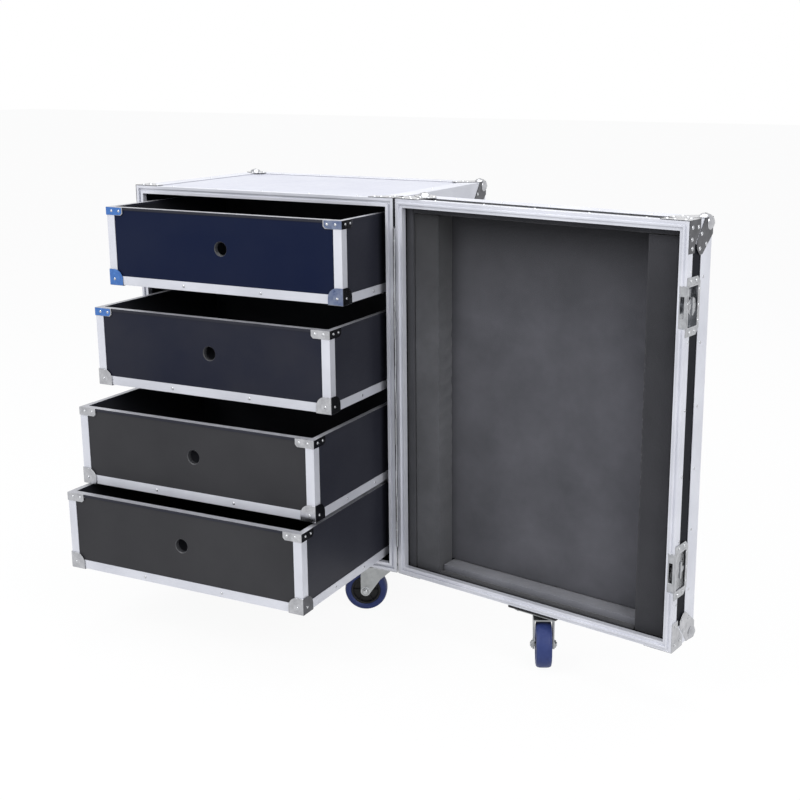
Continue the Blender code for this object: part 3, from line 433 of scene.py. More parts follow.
ALU = [aluminium(axis) for axis in "xyz"]
# A darker copy of the chrome for sideways faces of the brackets and cups and for the upper side plates:
# painted shade and painted dark reflection.
SHADED_CHROME = plated("shaded_chrome", (0.115, 0.117, 0.128), (0.060, 0.061, 0.068), 0.16)
SILVER = plated("bright_chrome", (0.56, 0.565, 0.59), (0.36, 0.365, 0.385), 0.18)
TRIM = plated("rim_trim", (0.44, 0.445, 0.48), (0.34, 0.343, 0.37), 0.38, 0.55)
NICKEL = plated("nickel", (0.50, 0.51, 0.53), (0.34, 0.35, 0.37), 0.20)
ZINC = plated("zinc", (0.40, 0.41, 0.415), (0.28, 0.29, 0.295), 0.36)
RIVET = plated("rivet", (0.62, 0.63, 0.65), (0.44, 0.45, 0.47), 0.24)
BLACK_STEEL = rubber("black_coated_steel", (0.016, 0.016, 0.018), (0.024, 0.024, 0.026), 0.42)
PANEL = laminate("panel_laminate", (0.006, 0.007, 0.010), (0.010, 0.011, 0.015), 0.44, 0.03)
SIDES = laminate("side_laminate", (0.017, 0.018, 0.026), (0.025, 0.026, 0.035), 0.42, 0.13)
NAVY = laminate("navy_laminate", (0.002, 0.006, 0.027), (0.006, 0.010, 0.030), 0.38, 0.09)
SLATE = laminate("slate_laminate", (0.008, 0.010, 0.022), (0.018, 0.019, 0.028), 0.38, 0.12)
GREY = laminate("grey_laminate", (0.025, 0.025, 0.028), (0.034, 0.034, 0.037), 0.44, 0.14)
INSIDE = laminate("inside_laminate", (0.018, 0.019, 0.024), (0.025, 0.026, 0.031), 0.50, 0.15)
BORE = laminate("bore_lacquer", (0.034, 0.035, 0.039), (0.056, 0.057, 0.062), 0.34, 0.4)
TOP = laminate("top_laminate", (0.44, 0.45, 0.52), (0.50, 0.51, 0.57), 0.34, 0.4)
BOARD = laminate("black_board", (0.010, 0.010, 0.011), (0.018, 0.018, 0.019), 0.55, 0.2)
FOAM = foam_material("foam", (0.030, 0.031, 0.036), (0.048, 0.049, 0.056))
# A darker copy of the foam for the top board, the right board, the step and the right block, where less
# light falls: painted shade.
SHADED_FOAM = foam_material("shaded_foam", (0.017, 0.0175, 0.021), (0.028, 0.028, 0.033))
# The back sheet's foam darkens towards the door's top: painted shade.
SHEET_FOAM = foam_material("sheet_foam", (0.044, 0.045, 0.053), (0.074, 0.074, 0.086), CASE_H - 0.03)
# A lighter copy of the foam for the left block, where more light falls: painted light. It darkens
# towards the block's top as painted shade.
LIT_BLOCK_FOAM = foam_material("lit_block_foam", (0.048, 0.049, 0.054), (0.090, 0.091, 0.100), CASE_H - 0.05)
# A much lighter copy of the foam for the bottom board, whose top face catches the light: painted light.
LIT_FOAM = foam_material("lit_foam", (0.125, 0.127, 0.143), (0.200, 0.203, 0.225))
TYRE = rubber("blue_tyre", (0.020, 0.033, 0.125), (0.030, 0.046, 0.150), 0.46, 0.25)
CORE = rubber("black_core", (0.007, 0.007, 0.008), (0.012, 0.012, 0.013), 0.46, 0.2)
FILM = rubber("blue_film", (0.020, 0.100, 0.330), (0.045, 0.150, 0.420), 0.22, 0.5)
DULL_FILM = plated("dull_film", (0.22, 0.25, 0.33), (0.060, 0.090, 0.19), 0.30, 0.5)


# The CAD nodes' finishes

METALS = [*ALU, SHADED_CHROME, NICKEL, SILVER]
DRAWER_METALS = [*METALS, TRIM, SIDES]
IN_SHADED_CHROME, IN_NICKEL, IN_SILVER, IN_TRIM, IN_BLACK = range(3, 8)
ON_FRONT, ON_INSIDE, ON_OUTSIDE, ON_RAIL, ON_BORE = range(5)


def metal_choice(left, front, rear, keepers=False):
    """Aluminium lined along the edge that a face's middle is nearest to, and chrome for the
    plates that stand out of the body's planes: a darker copy on the upper sides as painted shade and
    painted dark reflection, bright elsewhere."""
    keeper_half, keeper_in = LATCH_PAN_Z / 2 + 0.002, left + LATCH_DEPTH + 0.001
    plate_out, upright = STEEL_T + GAP + 0.0004, 0.6

    def choose(at, normal):
        out = max(left - at.x, at.x - left - CASE_W, -at.z, at.z - CASE_H, at.y - rear)
        near_latch = min(abs(at.z - level) for level in LATCH_Z) < keeper_half
        if keepers and near_latch and at.x < keeper_in:
            return IN_NICKEL
        if out <= GAP / 2:
            dx = min(at.x - left, left + CASE_W - at.x)
            dy = min(abs(at.y - front), abs(at.y - rear))
            dz = min(at.z, CASE_H - at.z)
            reach = (math.hypot(dy, dz), math.hypot(dx, dz), math.hypot(dx, dy))
            return min(range(3), key=reach.__getitem__)
        side_plate = out < plate_out and abs(normal.z) < upright
        return IN_SHADED_CHROME if side_plate and at.z > CASE_H / 2 else IN_SILVER
    return choose


def handle_choice(at, normal):
    """Rubber for the grip, which is thicker than the rod it is moulded on."""
    grip_half, rod_reach, rod_drop, rod_in = 0.0405, 0.0046, 0.034, 0.0085
    drop = at.z - (HANDLE_Z - rod_drop)
    deep = abs(at.x) - (SIDE - rod_in)
    return 1 if abs(at.y) < grip_half and math.hypot(drop, deep) > rod_reach else 0


def drawer_choice(at, normal):
    """The front's laminate, the hole's wall, the dark inside, the outer sides and the rails."""
    rail_start, front_depth, bore_depth, wall_in, back_in = 0.035, 0.0025, 0.0150, 0.0125, 0.008
    bore_r, inner_x, floor = HOLE_R + 0.004, HALF - PANEL_IN + 0.0008, DRAWER_FLOOR + 0.004
    if at.z < DRAWER_FLOOR and abs(abs(at.x) - SLIDE_X) < SLIDE_W / 2 and at.y > rail_start:
        return ON_RAIL
    if at.y < front_depth and normal.y < -0.9:
        return ON_FRONT
    if math.hypot(at.x, at.z - DRAWER_H + HOLE_DROP) < bore_r and at.y < bore_depth:
        return ON_BORE
    within = abs(at.x) < inner_x and at.z > floor
    return ON_INSIDE if within and wall_in < at.y < DRAWER_D - back_in else ON_OUTSIDE


def bracket_choice(at, normal):
    """Chrome brackets and cups, their side-facing faces in a darker copy as painted shade and painted
    dark reflection, a bright lip on the rim over a black strip, and aluminium.
    """
    corner_h, rim_h, lip_h = 0.036, 0.0065, 0.0008
    out = max(abs(at.x) - HALF, -at.y, -at.z)
    if out > GAP / 2 and min(at.z, DRAWER_H - at.z) < corner_h:
        return IN_SHADED_CHROME if abs(normal.x) > 0.6 else IN_SILVER
    if at.z > DRAWER_H - rim_h:
        return IN_TRIM if normal.z > 0.5 or at.z > DRAWER_H - lip_h else IN_BLACK
    reach = (math.hypot(at.y, min(at.z, DRAWER_H - at.z)),
             math.hypot(HALF - abs(at.x), min(at.z, DRAWER_H - at.z)),
             math.hypot(HALF - abs(at.x), at.y))
    return min(range(3), key=reach.__getitem__)


def runner_choice(at, normal):
    """Zinc for the outer rail that stands on the black shelf."""
    rail_half, rail_low, rail_high = SLIDE_W / 2 + 0.0004, -0.0012, 0.012
    on_shelf = abs(abs(at.x) - SLIDE_X) < rail_half
    return 1 if on_shelf and rail_low < at.z < rail_high else 0


def door_plate_choice(at, normal):
    """Black board over the caster's plate."""
    board_low = -0.0072
    return 1 if at.z > board_low else 0


def dress_nodes():
    """The finish of every CAD node that shows."""
    for name in ("case_bottom_panel", "case_left_panel", "case_right_panel", "case_back_panel",
                 "door_shell"):
        dress_node(name, [PANEL])
    dress_node("case_top_panel", [TOP])
    case_metal = metal_choice(-SIDE, FRONT, BACK, True)
    door_metal = metal_choice(DOOR_LEFT, 0.0, DOOR_D)
    for part in ("closure_frame", "edging"):
        dress_node("case_" + part, METALS, NODE_EDGE, BASE, case_metal)
        dress_node("door_" + part, METALS, NODE_EDGE, DOOR, door_metal)
    for name in ("case_hinge_leaf", "door_hinge_leaf"):
        dress_node(name, [NICKEL], FINE_EDGE)
    for name in ("left_handle_dish", "right_handle_dish", "lower_latch", "upper_latch",
                 "lower_latch_dish", "upper_latch_dish"):
        dress_node(name, [NICKEL])
    for side in ("left", "right"):
        dress_node(side + "_handle", [NICKEL, CORE], FINE_EDGE, BASE, handle_choice)
    for number, drawer, z, front in zip(NUMBERS, DRAWERS, DRAWER_Z, (GREY, GREY, SLATE, NAVY)):
        closed = BASE @ Matrix.Translation((0, FRONT, z))
        finishes = [front, INSIDE, SIDES, ZINC, BORE]
        dress_node(f"drawer_{number}_box", finishes, NODE_EDGE, drawer, drawer_choice)
        dress_node(f"drawer_{number}_edging", DRAWER_METALS, NODE_EDGE, drawer, bracket_choice)
        for side in ("left", "right"):
            runner = f"drawer_{number}_{side}_runner"
            dress_node(runner, [BLACK_STEEL, ZINC], FINE_EDGE, closed, runner_choice)
            dress_node(f"drawer_{number}_{side}_middle_rail", [ZINC], FINE_EDGE)
    for corner in CASTERS:
        dress_node(corner + "_caster_plate", [ZINC])
        dress_node(corner + "_caster_fork", [ZINC])
    dress_node("door_caster_fork", [ZINC])
    dress_node("door_caster_plate", [ZINC, BOARD], BOARD_EDGE, DOOR, door_plate_choice)


# Rivets: each place is a point and the way that the rivet's head faces

def dome(radius, height):
    """A pop rivet's flange with its pulled stem in the middle."""
    profile = [(0, -GAP), (radius, -GAP), (radius, 0.25 * height), (0.86 * radius, 0.62 * height),
               (0.62 * radius, 0.92 * height), (0.40 * radius, height), (0.34 * radius, 0.72 * height),
               (0, 0.66 * height)]
    return turned(profile, 14)


BIG_RIVET = dome(0.0042, 0.0016)
SMALL_RIVET = dome(0.0030, 0.0012)
LATCH_RIVET = dome(0.0036, 0.0016)


def standing(point, normal):
    """The matrix that stands a rivet at a point with its head along a normal."""
    normal = Vector(normal)
    side = normal.orthogonal().normalized()
    return axes(point, side, normal.cross(side), normal)


def rivets(name, places, body, place, kind=SMALL_RIVET):
    """All of a body's rivets of one kind in one piece."""
    matrices = [standing(point, normal) for point, normal in places]
    piece(name, joined([kind] * len(places), matrices), RIVET, body, place)


def spaced(start, end, pitch):
    """Even places from start to end, about a pitch apart."""
    count = max(1, round((end - start) / pitch))
    return [start + (end - start) * i / count for i in range(count + 1)]


def corners_of(left):
    """The four corners of a body's outline: the way inwards and the place, along X and Z."""
    return [(sx, x, sz, z) for sx, x in ((1, left), (-1, left + CASE_W))
            for sz, z in ((1, 0), (-1, CASE_H))]


def brace_rivets(left, front):
    """Four rivets on each leg of the top braces and three on the bottom ones."""
    legs = ((0.012, 0.012), (0.013, 0.036), (0.034, 0.011), (0.051, 0.013))
    only_on_top = legs[2]
    places = []
    for sx, x, sz, z in corners_of(left):
        for leg in legs:
            if sz > 0 and leg == only_on_top:
                continue
            along, deep = leg
            places.append(((x - sx * PLATE_OUT, front + deep, z + sz * along), (-sx, 0, 0)))
            places.append(((x + sx * along, front + deep, z - sz * PLATE_OUT), (0, 0, -sz)))
    return places


def corner_rivets(left, rear):
    """Three rivets on each leaf of the ball corners."""
    spots = ((0.048, 0.027), (0.027, 0.048), (0.054, 0.054))
    places = []
    for sx, x, sz, z in corners_of(left):
        for u, v in spots:
            places.append(((x - sx * STEEL_T, rear - u, z + sz * v), (-sx, 0, 0)))
            places.append(((x + sx * u, rear - v, z - sz * STEEL_T), (0, 0, -sz)))
            places.append(((x + sx * u, rear + STEEL_T, z + sz * v), (0, 1, 0)))
    return places


def edge_rivets(left, front, rear):
    """Small rivets along both faces of every edge angle."""
    right, leg, clear, pitch = left + CASE_W, 0.030, 0.110, 0.125
    places = []
    for z, up in ((0, -1), (CASE_H, 1)):
        level = z - up * leg
        for x in spaced(left + clear, right - clear, pitch):
            places.append(((x, rear, level), (0, 1, 0)))
            places.append(((x, rear - leg, z), (0, 0, up)))
        middle = (front + FRAME_DEPTH + rear) / 2
        for x, out in ((left, -1), (right, 1)):
            places.append(((x, middle, level), (out, 0, 0)))
            places.append(((x - out * leg, middle, z), (0, 0, up)))
    for x, out in ((left, -1), (right, 1)):
        for z in spaced(clear, CASE_H - clear, pitch):
            places.append(((x, rear - leg, z), (out, 0, 0)))
            places.append(((x - out * leg, rear, z), (0, 1, 0)))
    return places


def frame_rivets(left, front, free_side, out):
    """Small rivets through the closure frame's outer wall, on its top, its bottom and the side
    without the hinge. The case's side leaves room for its latch keepers."""
    deep, clear, pitch, latch_room = front + 0.0162, 0.095, 0.132, 0.065
    right = left + CASE_W
    places = [((x, deep, z), (0, 0, up)) for z, up in ((0, -1), (CASE_H, 1))
              for x in spaced(left + clear, right - clear, pitch)]
    for z in spaced(clear, CASE_H - clear, pitch):
        if out > 0 or min(abs(z - level) for level in LATCH_Z) > latch_room:
            places.append(((free_side, deep, z), (out, 0, 0)))
    return places


def latch_rivets(at_x, front, out):
    """Seven rivets round the flange of each latch dish or keeper."""
    spots = ((0.016, 0.0482), (0.038, 0.0482), (0.0515, 0.030), (0.0515, -0.030),
             (0.038, -0.0482), (0.016, -0.0482), (0.0515, 0.0))
    face = at_x + out * PLATE_OUT
    return [((face, front + deep, z + up), (out, 0, 0)) for z in LATCH_Z for deep, up in spots]


def handle_rivets(s):
    """Eight rivets round the flange of a handle dish."""
    spots = [(y, z) for y in (-0.064, 0.0, 0.064) for z in (-0.0585, 0.0585)]
    spots += [(-0.0785, 0.0), (0.0785, 0.0)]
    return [((s * (SIDE + PLATE_OUT), y, HANDLE_Z + z), (s, 0, 0)) for y, z in spots]


def drawer_rivets():
    """The small rivets of a drawer's angles, brackets and cups, in the drawer's frame."""
    places = []
    high, low, strip = DRAWER_H - 0.0085, 0.0125, 0.0095
    cup = BRACKET_OUT + CUP_T
    for s in (-1, 1):
        for along in (0.014, 0.034):
            places.append(((s * (HALF - along), -BRACKET_OUT, high), (0, -1, 0)))
            places.append(((s * (HALF + BRACKET_OUT), along, high), (s, 0, 0)))
        places.append(((s * (HALF - low), -cup, low), (0, -1, 0)))
        places.append(((s * (HALF + cup), low, low), (s, 0, 0)))
        places.append(((s * (HALF - low), low, -cup), (0, 0, -1)))
        places.append(((s * HALF / 3, 0, strip), (0, -1, 0)))
        for y in (0.13, 0.25, 0.37):
            places.append(((s * HALF, y, strip), (s, 0, 0)))
    return places


def add_rivets():
    """The rivets of the case, the door and the drawers."""
    case_plates = brace_rivets(-SIDE, FRONT) + corner_rivets(-SIDE, BACK)
    case_plates += handle_rivets(-1) + handle_rivets(1)
    case_edges = edge_rivets(-SIDE, FRONT, BACK) + frame_rivets(-SIDE, FRONT, -SIDE, -1)
    rivets("case_plate_rivets", case_plates, "case", BASE, BIG_RIVET)
    rivets("case_edge_rivets", case_edges, "case", BASE)
    rivets("case_latch_rivets", latch_rivets(-SIDE, FRONT, -1), "case", BASE, LATCH_RIVET)
    door_plates = brace_rivets(DOOR_LEFT, 0.0) + corner_rivets(DOOR_LEFT, DOOR_D)
    door_edges = edge_rivets(DOOR_LEFT, 0.0, DOOR_D) + frame_rivets(DOOR_LEFT, 0.0, DOOR_RIGHT, 1)
    rivets("door_plate_rivets", door_plates, "door", DOOR, BIG_RIVET)
    rivets("door_edge_rivets", door_edges, "door", DOOR)
    rivets("door_latch_rivets", latch_rivets(DOOR_RIGHT, 0.0, 1), "door", DOOR, LATCH_RIVET)
    for number, drawer in zip(NUMBERS, DRAWERS):
        rivets(f"drawer_{number}_rivets", drawer_rivets(), f"drawer_{number}", drawer)


# Cups with a rounded corner over the drawers' lower corners

CUP_ROUND = 0.62 * CUP_R
CUP_ARC = [math.pi / 2 * i / 12 for i in range(13)]
CUP_OUTLINE = [(0.0, CUP_R), (0.0, 0.0), (CUP_R, 0.0)]
CUP_OUTLINE += [(CUP_R - CUP_ROUND * (1 - math.cos(angle)), CUP_R - CUP_ROUND * (1 - math.sin(angle)))
                for angle in CUP_ARC]
FILMED_CUPS = {(4, "left", "front"): FILM, (4, "right", "front"): DULL_FILM}


def cup_leaves(s):
    """The frames of a cup's leaves, each standing on its corner's outer face."""
    corner = Vector((s * (HALF + BRACKET_OUT), -BRACKET_OUT, -BRACKET_OUT))
    inwards = -s * X
    leaves = {"front": (inwards, Z, -Y), "side": (Y, Z, s * X), "bottom": (inwards, Y, -Z)}
    for face, (u, v, outwards) in leaves.items():
        across = u.cross(v)
        lift = Vector() if across.dot(outwards) > 0 else outwards * CUP_T
        yield face, axes(corner + lift, u, v, across)


def add_cups():
    """Three leaves to each cup: the side leaves in a darker copy of the chrome as painted shade and
    painted dark reflection, with film left on drawer 4's front ones.
    """
    leaf = extruded(CUP_OUTLINE, CUP_T)
    for number, drawer in zip(NUMBERS, DRAWERS):
        for side, s in (("left", -1), ("right", 1)):
            for face, at in cup_leaves(s):
                plain = SHADED_CHROME if face == "side" else SILVER
                material = FILMED_CUPS.get((number, side, face), plain)
                piece(f"drawer_{number}_{side}_cup_{face}", leaf.copy(), material,
                      f"drawer_{number}", drawer @ at, NODE_EDGE)


# Protective film left on some of the drawers' brackets

FILM_T, FILM_LIFT, FILM_DROP, FILM_EDGE = 0.0003, 0.0001, 0.0002, 0.0001
CORNER_FILM = ((0.000, 0.0000), (0.0425, 0.0004), (0.0428, 0.0115), (0.0392, 0.0168), (0.0300, 0.0172),
               (0.0220, 0.0176), (0.0100, 0.0173), (0.0000, 0.0176))


def add_films():
    """Thin films with an uneven edge: on two left brackets, and on drawer 4's side and right."""
    out, high = BRACKET_OUT + FILM_LIFT, DRAWER_H - FILM_DROP
    on_left = axes((-HALF - BRACKET_OUT, -out, high), X, -Z, -Y)
    on_right = axes((HALF + BRACKET_OUT, -out, high), -X, -Z, -Y)
    on_side = axes((-HALF - out, -BRACKET_OUT, high), Y, -Z, X) @ Matrix.Translation((0, 0, -FILM_T))
    films = ((3, "bracket", on_left, FILM), (4, "bracket", on_left, FILM), (4, "side", on_side, FILM),
             (4, "right_bracket", on_right, DULL_FILM))
    for number, name, at, material in films:
        piece(f"drawer_{number}_{name}_film", extruded(CORNER_FILM, FILM_T), material,
              f"drawer_{number}", DRAWERS[number - 1] @ at, FILM_EDGE)


# Dishes: a rolled rim round each, and two studs on each latch's butterfly

HANDLE_RIM = (0.071, 0.051)
LATCH_RIM_IN = 0.0014
LATCH_RIM = ((LATCH_PAN_Y - LATCH_PAN_FRONT) / 2 - LATCH_RIM_IN, LATCH_PAN_Z / 2 - LATCH_RIM_IN)
LATCH_RIM_Y = (LATCH_PAN_FRONT + LATCH_PAN_Y) / 2
RIM_SECTION = ((-0.0022, 0.0), (-0.0016, 0.0008), (-0.0006, 0.0010), (0.0004, 0.0006), (0.0006, -0.0004))
STUD = ((0, -GAP), (0.0060, -GAP), (0.0060, 0.0006), (0.0048, 0.0011), (0, 0.0014))
STUD_OFFSET = 0.0098


def dish_rim(half, centre_y, at_x, out, centre_z):
    """A rim round an opening of half sizes in Y and Z, on the face that out points away from."""
    half_y, half_z = half
    middle = out * centre_y
    outline = [(middle - half_y, -half_z), (middle + half_y, -half_z),
               (middle + half_y, half_z), (middle - half_y, half_z)]
    return swept_frame(outline, RIM_SECTION), axes((at_x, 0, centre_z), out * Y, Z, out * X)


def add_dish_details():
    """The rims of the handles, the latches and their keepers, and the latches' studs."""
    for name, s in (("left", -1), ("right", 1)):
        rim, at = dish_rim(HANDLE_RIM, 0.0, s * (SIDE + PLATE_OUT), s, HANDLE_Z)
        piece(name + "_handle_rim", rim, NICKEL, "case", BASE @ at)
    at_front = BASE @ Matrix.Translation((0, FRONT, 0))
    for body, at_x, s, origin in (("door", DOOR_RIGHT, 1, DOOR), ("case", -SIDE, -1, at_front)):
        for name, z in zip(("lower", "upper"), LATCH_Z):
            rim, at = dish_rim(LATCH_RIM, LATCH_RIM_Y, at_x + s * PLATE_OUT, s, z)
            piece(f"{body}_{name}_latch_rim", rim, SILVER, body, origin @ at)
    for name, z in zip(("lower_latch", "upper_latch"), LATCH_Z):
        for side, offset in (("upper", STUD_OFFSET), ("lower", -STUD_OFFSET)):
            at = axes((DOOR_RIGHT - GAP, LATCH_HUB_Y + offset, z), Y, Z, X)
            piece(f"{name}_{side}_stud", turned(STUD, 20), NICKEL, name, DOOR @ at)


# Casters

ALONG_Y = axes((0, 0, 0), X, -Z, Y)
FORK_HALF, RACE_UNDER = 0.0225, 0.0126
RIBS = 6


def tyre():
    """A tyre with rounded shoulders, as wide as the CAD's faceted wheel across its flats."""
    half, outer = WHEEL_W / 2, WHEEL_R * math.cos(math.pi / WHEEL_STEPS)
    side = [(TYRE_IN, half - 0.0030), (TYRE_IN + 0.0026, half - 0.0008), (0.0420, half),
            (0.0462, half - 0.0010), (outer - 0.0012, half - 0.0040), (outer - 0.0003, half - 0.0072),
            (outer, half - 0.0110)]
    return turned(mirrored_profile(side), 96, ALONG_Y)


def core():
    """A moulded core: rim, recessed web with ribs on both faces, and a hub with its bearing."""
    half, rim = WHEEL_W / 2, TYRE_IN
    side = [(0.0056, half), (0.0128, half), (0.0138, half - 0.0010), (0.0142, half - 0.0068),
            (rim - 0.0060, half - 0.0070), (rim - 0.0046, half - 0.0022), (rim - 0.0034, half - 0.0014),
            (rim, half - 0.0022)]
    rib = box((0.0130, -0.0011, half - 0.0085), (rim - 0.0050, 0.0011, half - 0.0036))
    turns = [Matrix.Rotation(face, 4, "X") @ Matrix.Rotation(2 * math.pi * i / RIBS, 4, "Z")
             for i in range(RIBS) for face in (0, math.pi)]
    meshes = [turned(mirrored_profile(side), 72, ALONG_Y)] + [rib] * len(turns)
    return joined(meshes, [Matrix()] + [ALONG_Y @ turn for turn in turns])


def axle_fittings():
    """A washer and the rounded end of the bolt on each side of a fork."""
    washer = turned([(0.0052, 0.0), (0.0112, 0.0), (0.0112, 0.0009), (0.0052, 0.0009)], 32)
    end = turned([(0, 0.0), (0.0050, 0.0), (0.0050, 0.0058), (0.0042, 0.0064), (0, 0.0064)], 20)
    sides = [axes((0, s * FORK_HALF, 0), s * X, -Z, s * Y) for s in (-1, 1)]
    return joined([washer, end] * 2, [at for at in sides for _ in range(2)])


def king_pin():
    """The swivel's bearing ring under the plate, with the pin's riveted head in the crown."""
    ring = turned([(0.0200, 0.0), (0.0290, 0.0), (0.0300, -0.0012), (0.0290, -0.0026),
                   (0.0200, -0.0026)], 48)
    head = turned([(0, -0.0224), (0.0070, -0.0224), (0.0084, -0.0208), (0.0084, -0.0185),
                   (0, -0.0185)], 24)
    return joined([ring, head], [Matrix.Translation((0, 0, -RACE_UNDER)), Matrix()])


def add_casters():
    """Each caster's tyre and core on its wheel, and its fittings on its fork."""
    swivels = {corner + "_caster": (BASE, x, y, turn) for corner, (x, y, turn) in CASTERS.items()}
    swivels["door_caster"] = (DOOR, *DOOR_CASTER)
    tyre_mesh, core_mesh, fittings, pin = tyre(), core(), axle_fittings(), king_pin()
    for name, (origin, x, y, turn) in swivels.items():
        swivel = origin @ Matrix.Translation((x, y, 0)) @ Matrix.Rotation(math.radians(turn), 4, "Z")
        axle = swivel @ Matrix.Translation((CASTER_TRAIL, 0, -AXLE_DROP))
        wheel = name.replace("caster", "wheel")
        made = piece(name + "_tyre", tyre_mesh.copy(), TYRE, wheel, axle)
        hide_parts(name + "_wheel")
        piece(name + "_core", core_mesh.copy(), CORE, wheel, axle, NODE_EDGE)
        piece(name + "_axle_fittings", fittings.copy(), NICKEL, name, axle)
        piece(name + "_king_pin", pin.copy(), NICKEL, name, swivel)


# The door's foam lining

FOAM_T, FOAM_BACK_T, FOAM_FRONT, FOAM_STEP = 0.020, 0.012, 0.0225, 0.004
FOAM_EDGE, STEP_BACK, STEP_T = 0.096, 0.041, 0.006
FOAM_WALL = PANEL_IN + 0.0005
FOAM_BACK = DOOR_D - PANEL_IN - 0.0005
SHEET_FRONT = FOAM_BACK - FOAM_BACK_T
SEAM, LATCH_ROOM = 0.0004, 0.0008
SHEET_CELL, BLOCK_CELL = 0.02, 0.006
FOLD_PITCH, FOLD_DEEP, FOLD_AT, FOLD_REACH = 0.034, 0.0028, 0.45, 0.30
FOLD_DRIFT, FOLD_FACING = 0.012, 0.7


def creased(facing):
    """Shallow creases across a block's inner face, where the foam is squeezed between boards."""
    def folds(at, normal):
        if normal.x * facing < FOLD_FACING:
            return 0.0
        bend = at.z + FOLD_DRIFT * noise.noise(Vector((at.y * 30, at.z * 6, 3.0)))
        wave = 0.5 + 0.5 * math.sin(bend * 2 * math.pi / FOLD_PITCH)
        middle = max(0.0, 1 - abs(at.z - FOLD_AT) / FOLD_REACH)
        return FOLD_DEEP * wave ** 3 * middle
    return folds


def foam(name, low, high, material, **details):
    """A board or block of the lining, in the door's frame."""
    made = piece(name, foam_board(low, high, **details), material, "door", DOOR)
    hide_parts("door_foam_lining")


def add_foam():
    """A back sheet between four boards, with a block up each side and a step in front."""
    left, right = DOOR_LEFT + FOAM_WALL, DOOR_RIGHT - FOAM_WALL
    low, high = FOAM_WALL, CASE_H - FOAM_WALL
    beside_latch = DOOR_RIGHT - LATCH_DEPTH - LATCH_ROOM
    block_left, block_right = DOOR_LEFT + FOAM_EDGE, DOOR_RIGHT - FOAM_EDGE
    between_left, between_right = block_left + SEAM, block_right - SEAM
    board_left, board_right = left + FOAM_T, right - FOAM_T
    board_low, board_high = low + FOAM_T, high - FOAM_T
    block_front, block_back, block_high = FOAM_FRONT + FOAM_STEP, SHEET_FRONT - SEAM, board_high - SEAM
    foam("foam_back_sheet", (board_left, SHEET_FRONT, board_low), (board_right, FOAM_BACK, board_high),
         SHEET_FOAM, cell=SHEET_CELL)
    foam("foam_left_board", (left, FOAM_FRONT, low), (board_left - SEAM, FOAM_BACK, high), FOAM)
    foam("foam_right_board", (board_right + SEAM, FOAM_FRONT, low), (beside_latch, FOAM_BACK, high),
         SHADED_FOAM)
    foam("foam_top_board", (board_left, FOAM_FRONT, board_high + SEAM), (board_right, FOAM_BACK, high),
         SHADED_FOAM)
    foam("foam_front_step", (between_left, FOAM_FRONT, low),
         (between_right, STEP_BACK - SEAM, low + STEP_T), SHADED_FOAM)
    foam("foam_bottom_board", (between_left, STEP_BACK, low),
         (between_right, FOAM_BACK, board_low - SEAM), LIT_FOAM)
    foam("foam_left_block", (board_left + SEAM, block_front, low), (block_left, block_back, block_high),
         LIT_BLOCK_FOAM, cell=BLOCK_CELL, folds=creased(1))
    foam("foam_right_block", (block_right, block_front, low),
         (board_right - SEAM, block_back, block_high), SHADED_FOAM, cell=BLOCK_CELL, folds=creased(-1))


# Studio

FLOOR_SIZE, FLOOR_Z, FLOOR_GREY, FLOOR_WHITE = 60.0, cad_box[0][2], 0.84, 0.94
SKY_COLOUR, SKY_STRENGTH = (0.93, 0.95, 1.0, 1.0), 0.55
LAMPS = {
    "key": ((-1.6, -3.0, 3.0), (0, -0.2, 0.4), (2.4, 2.0), 95),
    "fill": ((3.2, -1.8, 2.2), (0.3, -0.2, 0.4), (2.0, 2.0), 62),
    "top": ((0.2, 0.4, 3.4), (0.2, 0, 0.4), (2.6, 2.6), 60),
}
EYE, YAW, PITCH, ROLL = (1.5929, -2.5451, 1.1072), 0.427, -0.2285, 0.0051
LENS, SENSOR, SHIFT = 55.11, 36.0, (-0.0978, -0.0513)


def calculated(tree, operation, a, b):
    """A maths node on a node's output and either another one or a number."""
    made = tree.nodes.new("ShaderNodeMath")
    made.operation = operation
    tree.links.new(a, made.inputs[0])
    if isinstance(b, bpy.types.NodeSocket):
        tree.links.new(b, made.inputs[1])
    else:
        made.inputs[1].default_value = b
    return made.outputs[0]


def white_for_rays(tree, share):
    """How much white glow the camera, reflections and refractions see."""
    rays = tree.nodes.new("ShaderNodeLightPath").outputs
    seen = calculated(tree, "MAXIMUM", rays["Is Camera Ray"], rays["Is Glossy Ray"])
    either = calculated(tree, "MAXIMUM", seen, rays["Is Transmission Ray"])
    return calculated(tree, "MULTIPLY", either, share)


def lit_or_white(tree, output, lit, white, share):
    """Links a mix of a lit surface and plain white to a tree's output."""
    mix = tree.nodes.new("ShaderNodeMixShader")
    tree.links.new(white_for_rays(tree, share), mix.inputs["Fac"])
    tree.links.new(lit.outputs[0], mix.inputs[1])
    tree.links.new(white.outputs[0], mix.inputs[2])
    tree.links.new(mix.outputs[0], tree.nodes.new(output).inputs["Surface"])


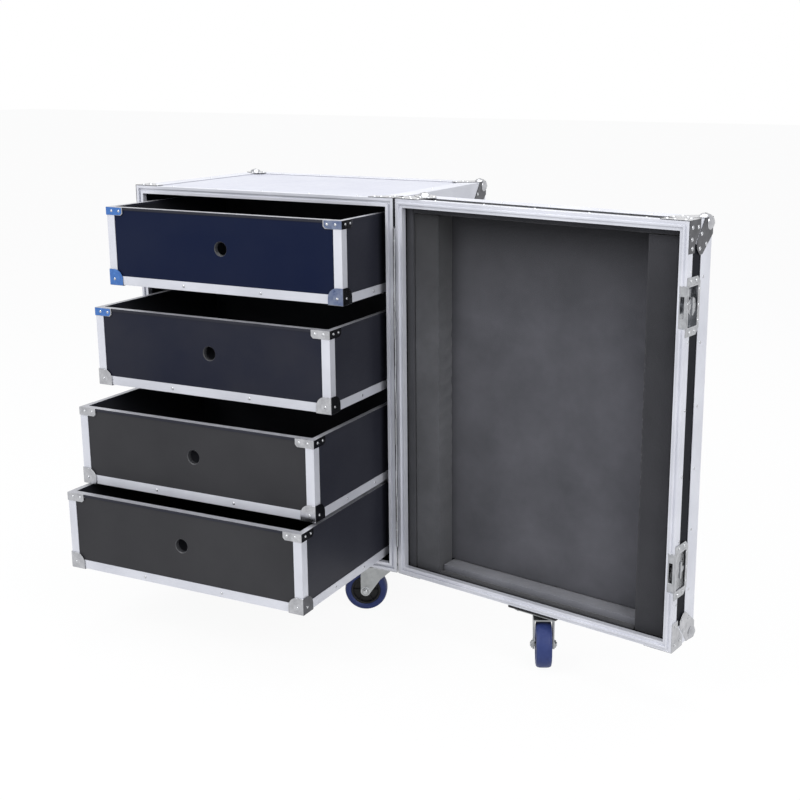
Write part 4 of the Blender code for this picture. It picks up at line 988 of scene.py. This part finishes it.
def studio_floor():
    """A pale floor that shows nearly white and keeps a soft shadow."""
    made = bpy.data.materials.new("pale_floor")
    made.use_nodes = True
    tree = made.node_tree
    tree.nodes.clear()
    diffuse = tree.nodes.new("ShaderNodeBsdfDiffuse")
    diffuse.inputs["Color"].default_value = (FLOOR_GREY, FLOOR_GREY, FLOOR_GREY, 1.0)
    glow = tree.nodes.new("ShaderNodeEmission")
    lit_or_white(tree, "ShaderNodeOutputMaterial", diffuse, glow, FLOOR_WHITE)
    bpy.ops.mesh.primitive_plane_add(size=FLOOR_SIZE, location=(0, 0, FLOOR_Z))
    floor = bpy.context.object
    floor.name = "studio_floor"
    floor.data.materials.append(made)


def studio_world():
    """A white background over a dimmer, slightly blue light from the sky."""
    world = bpy.data.worlds.new("studio")
    bpy.context.scene.world = world
    world.use_nodes = True
    tree = world.node_tree
    tree.nodes.clear()
    dim = tree.nodes.new("ShaderNodeBackground")
    dim.inputs["Color"].default_value = SKY_COLOUR
    dim.inputs["Strength"].default_value = SKY_STRENGTH
    white = tree.nodes.new("ShaderNodeBackground")
    white.inputs["Color"].default_value = (1.0, 1.0, 1.0, 1.0)
    white.inputs["Strength"].default_value = 1.0
    lit_or_white(tree, "ShaderNodeOutputWorld", dim, white, 1.0)


def lamp(name, location, target, size, power):
    """A rectangular area lamp aimed at a target."""
    light = bpy.data.lights.new(name, "AREA")
    light.shape = "RECTANGLE"
    light.size, light.size_y = size
    light.energy = power
    made = bpy.data.objects.new(name, light)
    bpy.context.scene.collection.objects.link(made)
    made.location = location
    aim = Vector(target) - Vector(location)
    made.rotation_euler = aim.to_track_quat("-Z", "Y").to_euler()


def camera():
    """The photograph's camera, fitted to the case's corners in it."""
    right = Vector((math.cos(YAW), math.sin(YAW), 0))
    ahead = Vector((-math.sin(YAW) * math.cos(PITCH), math.cos(YAW) * math.cos(PITCH), math.sin(PITCH)))
    up = right.cross(ahead)
    across = right * math.cos(ROLL) + up * math.sin(ROLL)
    upward = up * math.cos(ROLL) - right * math.sin(ROLL)
    data = bpy.data.cameras.new("camera")
    data.lens = LENS
    data.sensor_width = SENSOR
    data.shift_x, data.shift_y = SHIFT
    made = bpy.data.objects.new("camera", data)
    bpy.context.scene.collection.objects.link(made)
    made.matrix_world = axes(EYE, across, upward, -ahead)
    bpy.context.scene.camera = made


dress_nodes()
add_rivets()
add_cups()
add_films()
add_dish_details()
add_casters()
add_foam()
studio_floor()
studio_world()
for name, settings in LAMPS.items():
    lamp(name, *settings)
camera()
bpy.context.scene.view_settings.view_transform = "Standard"
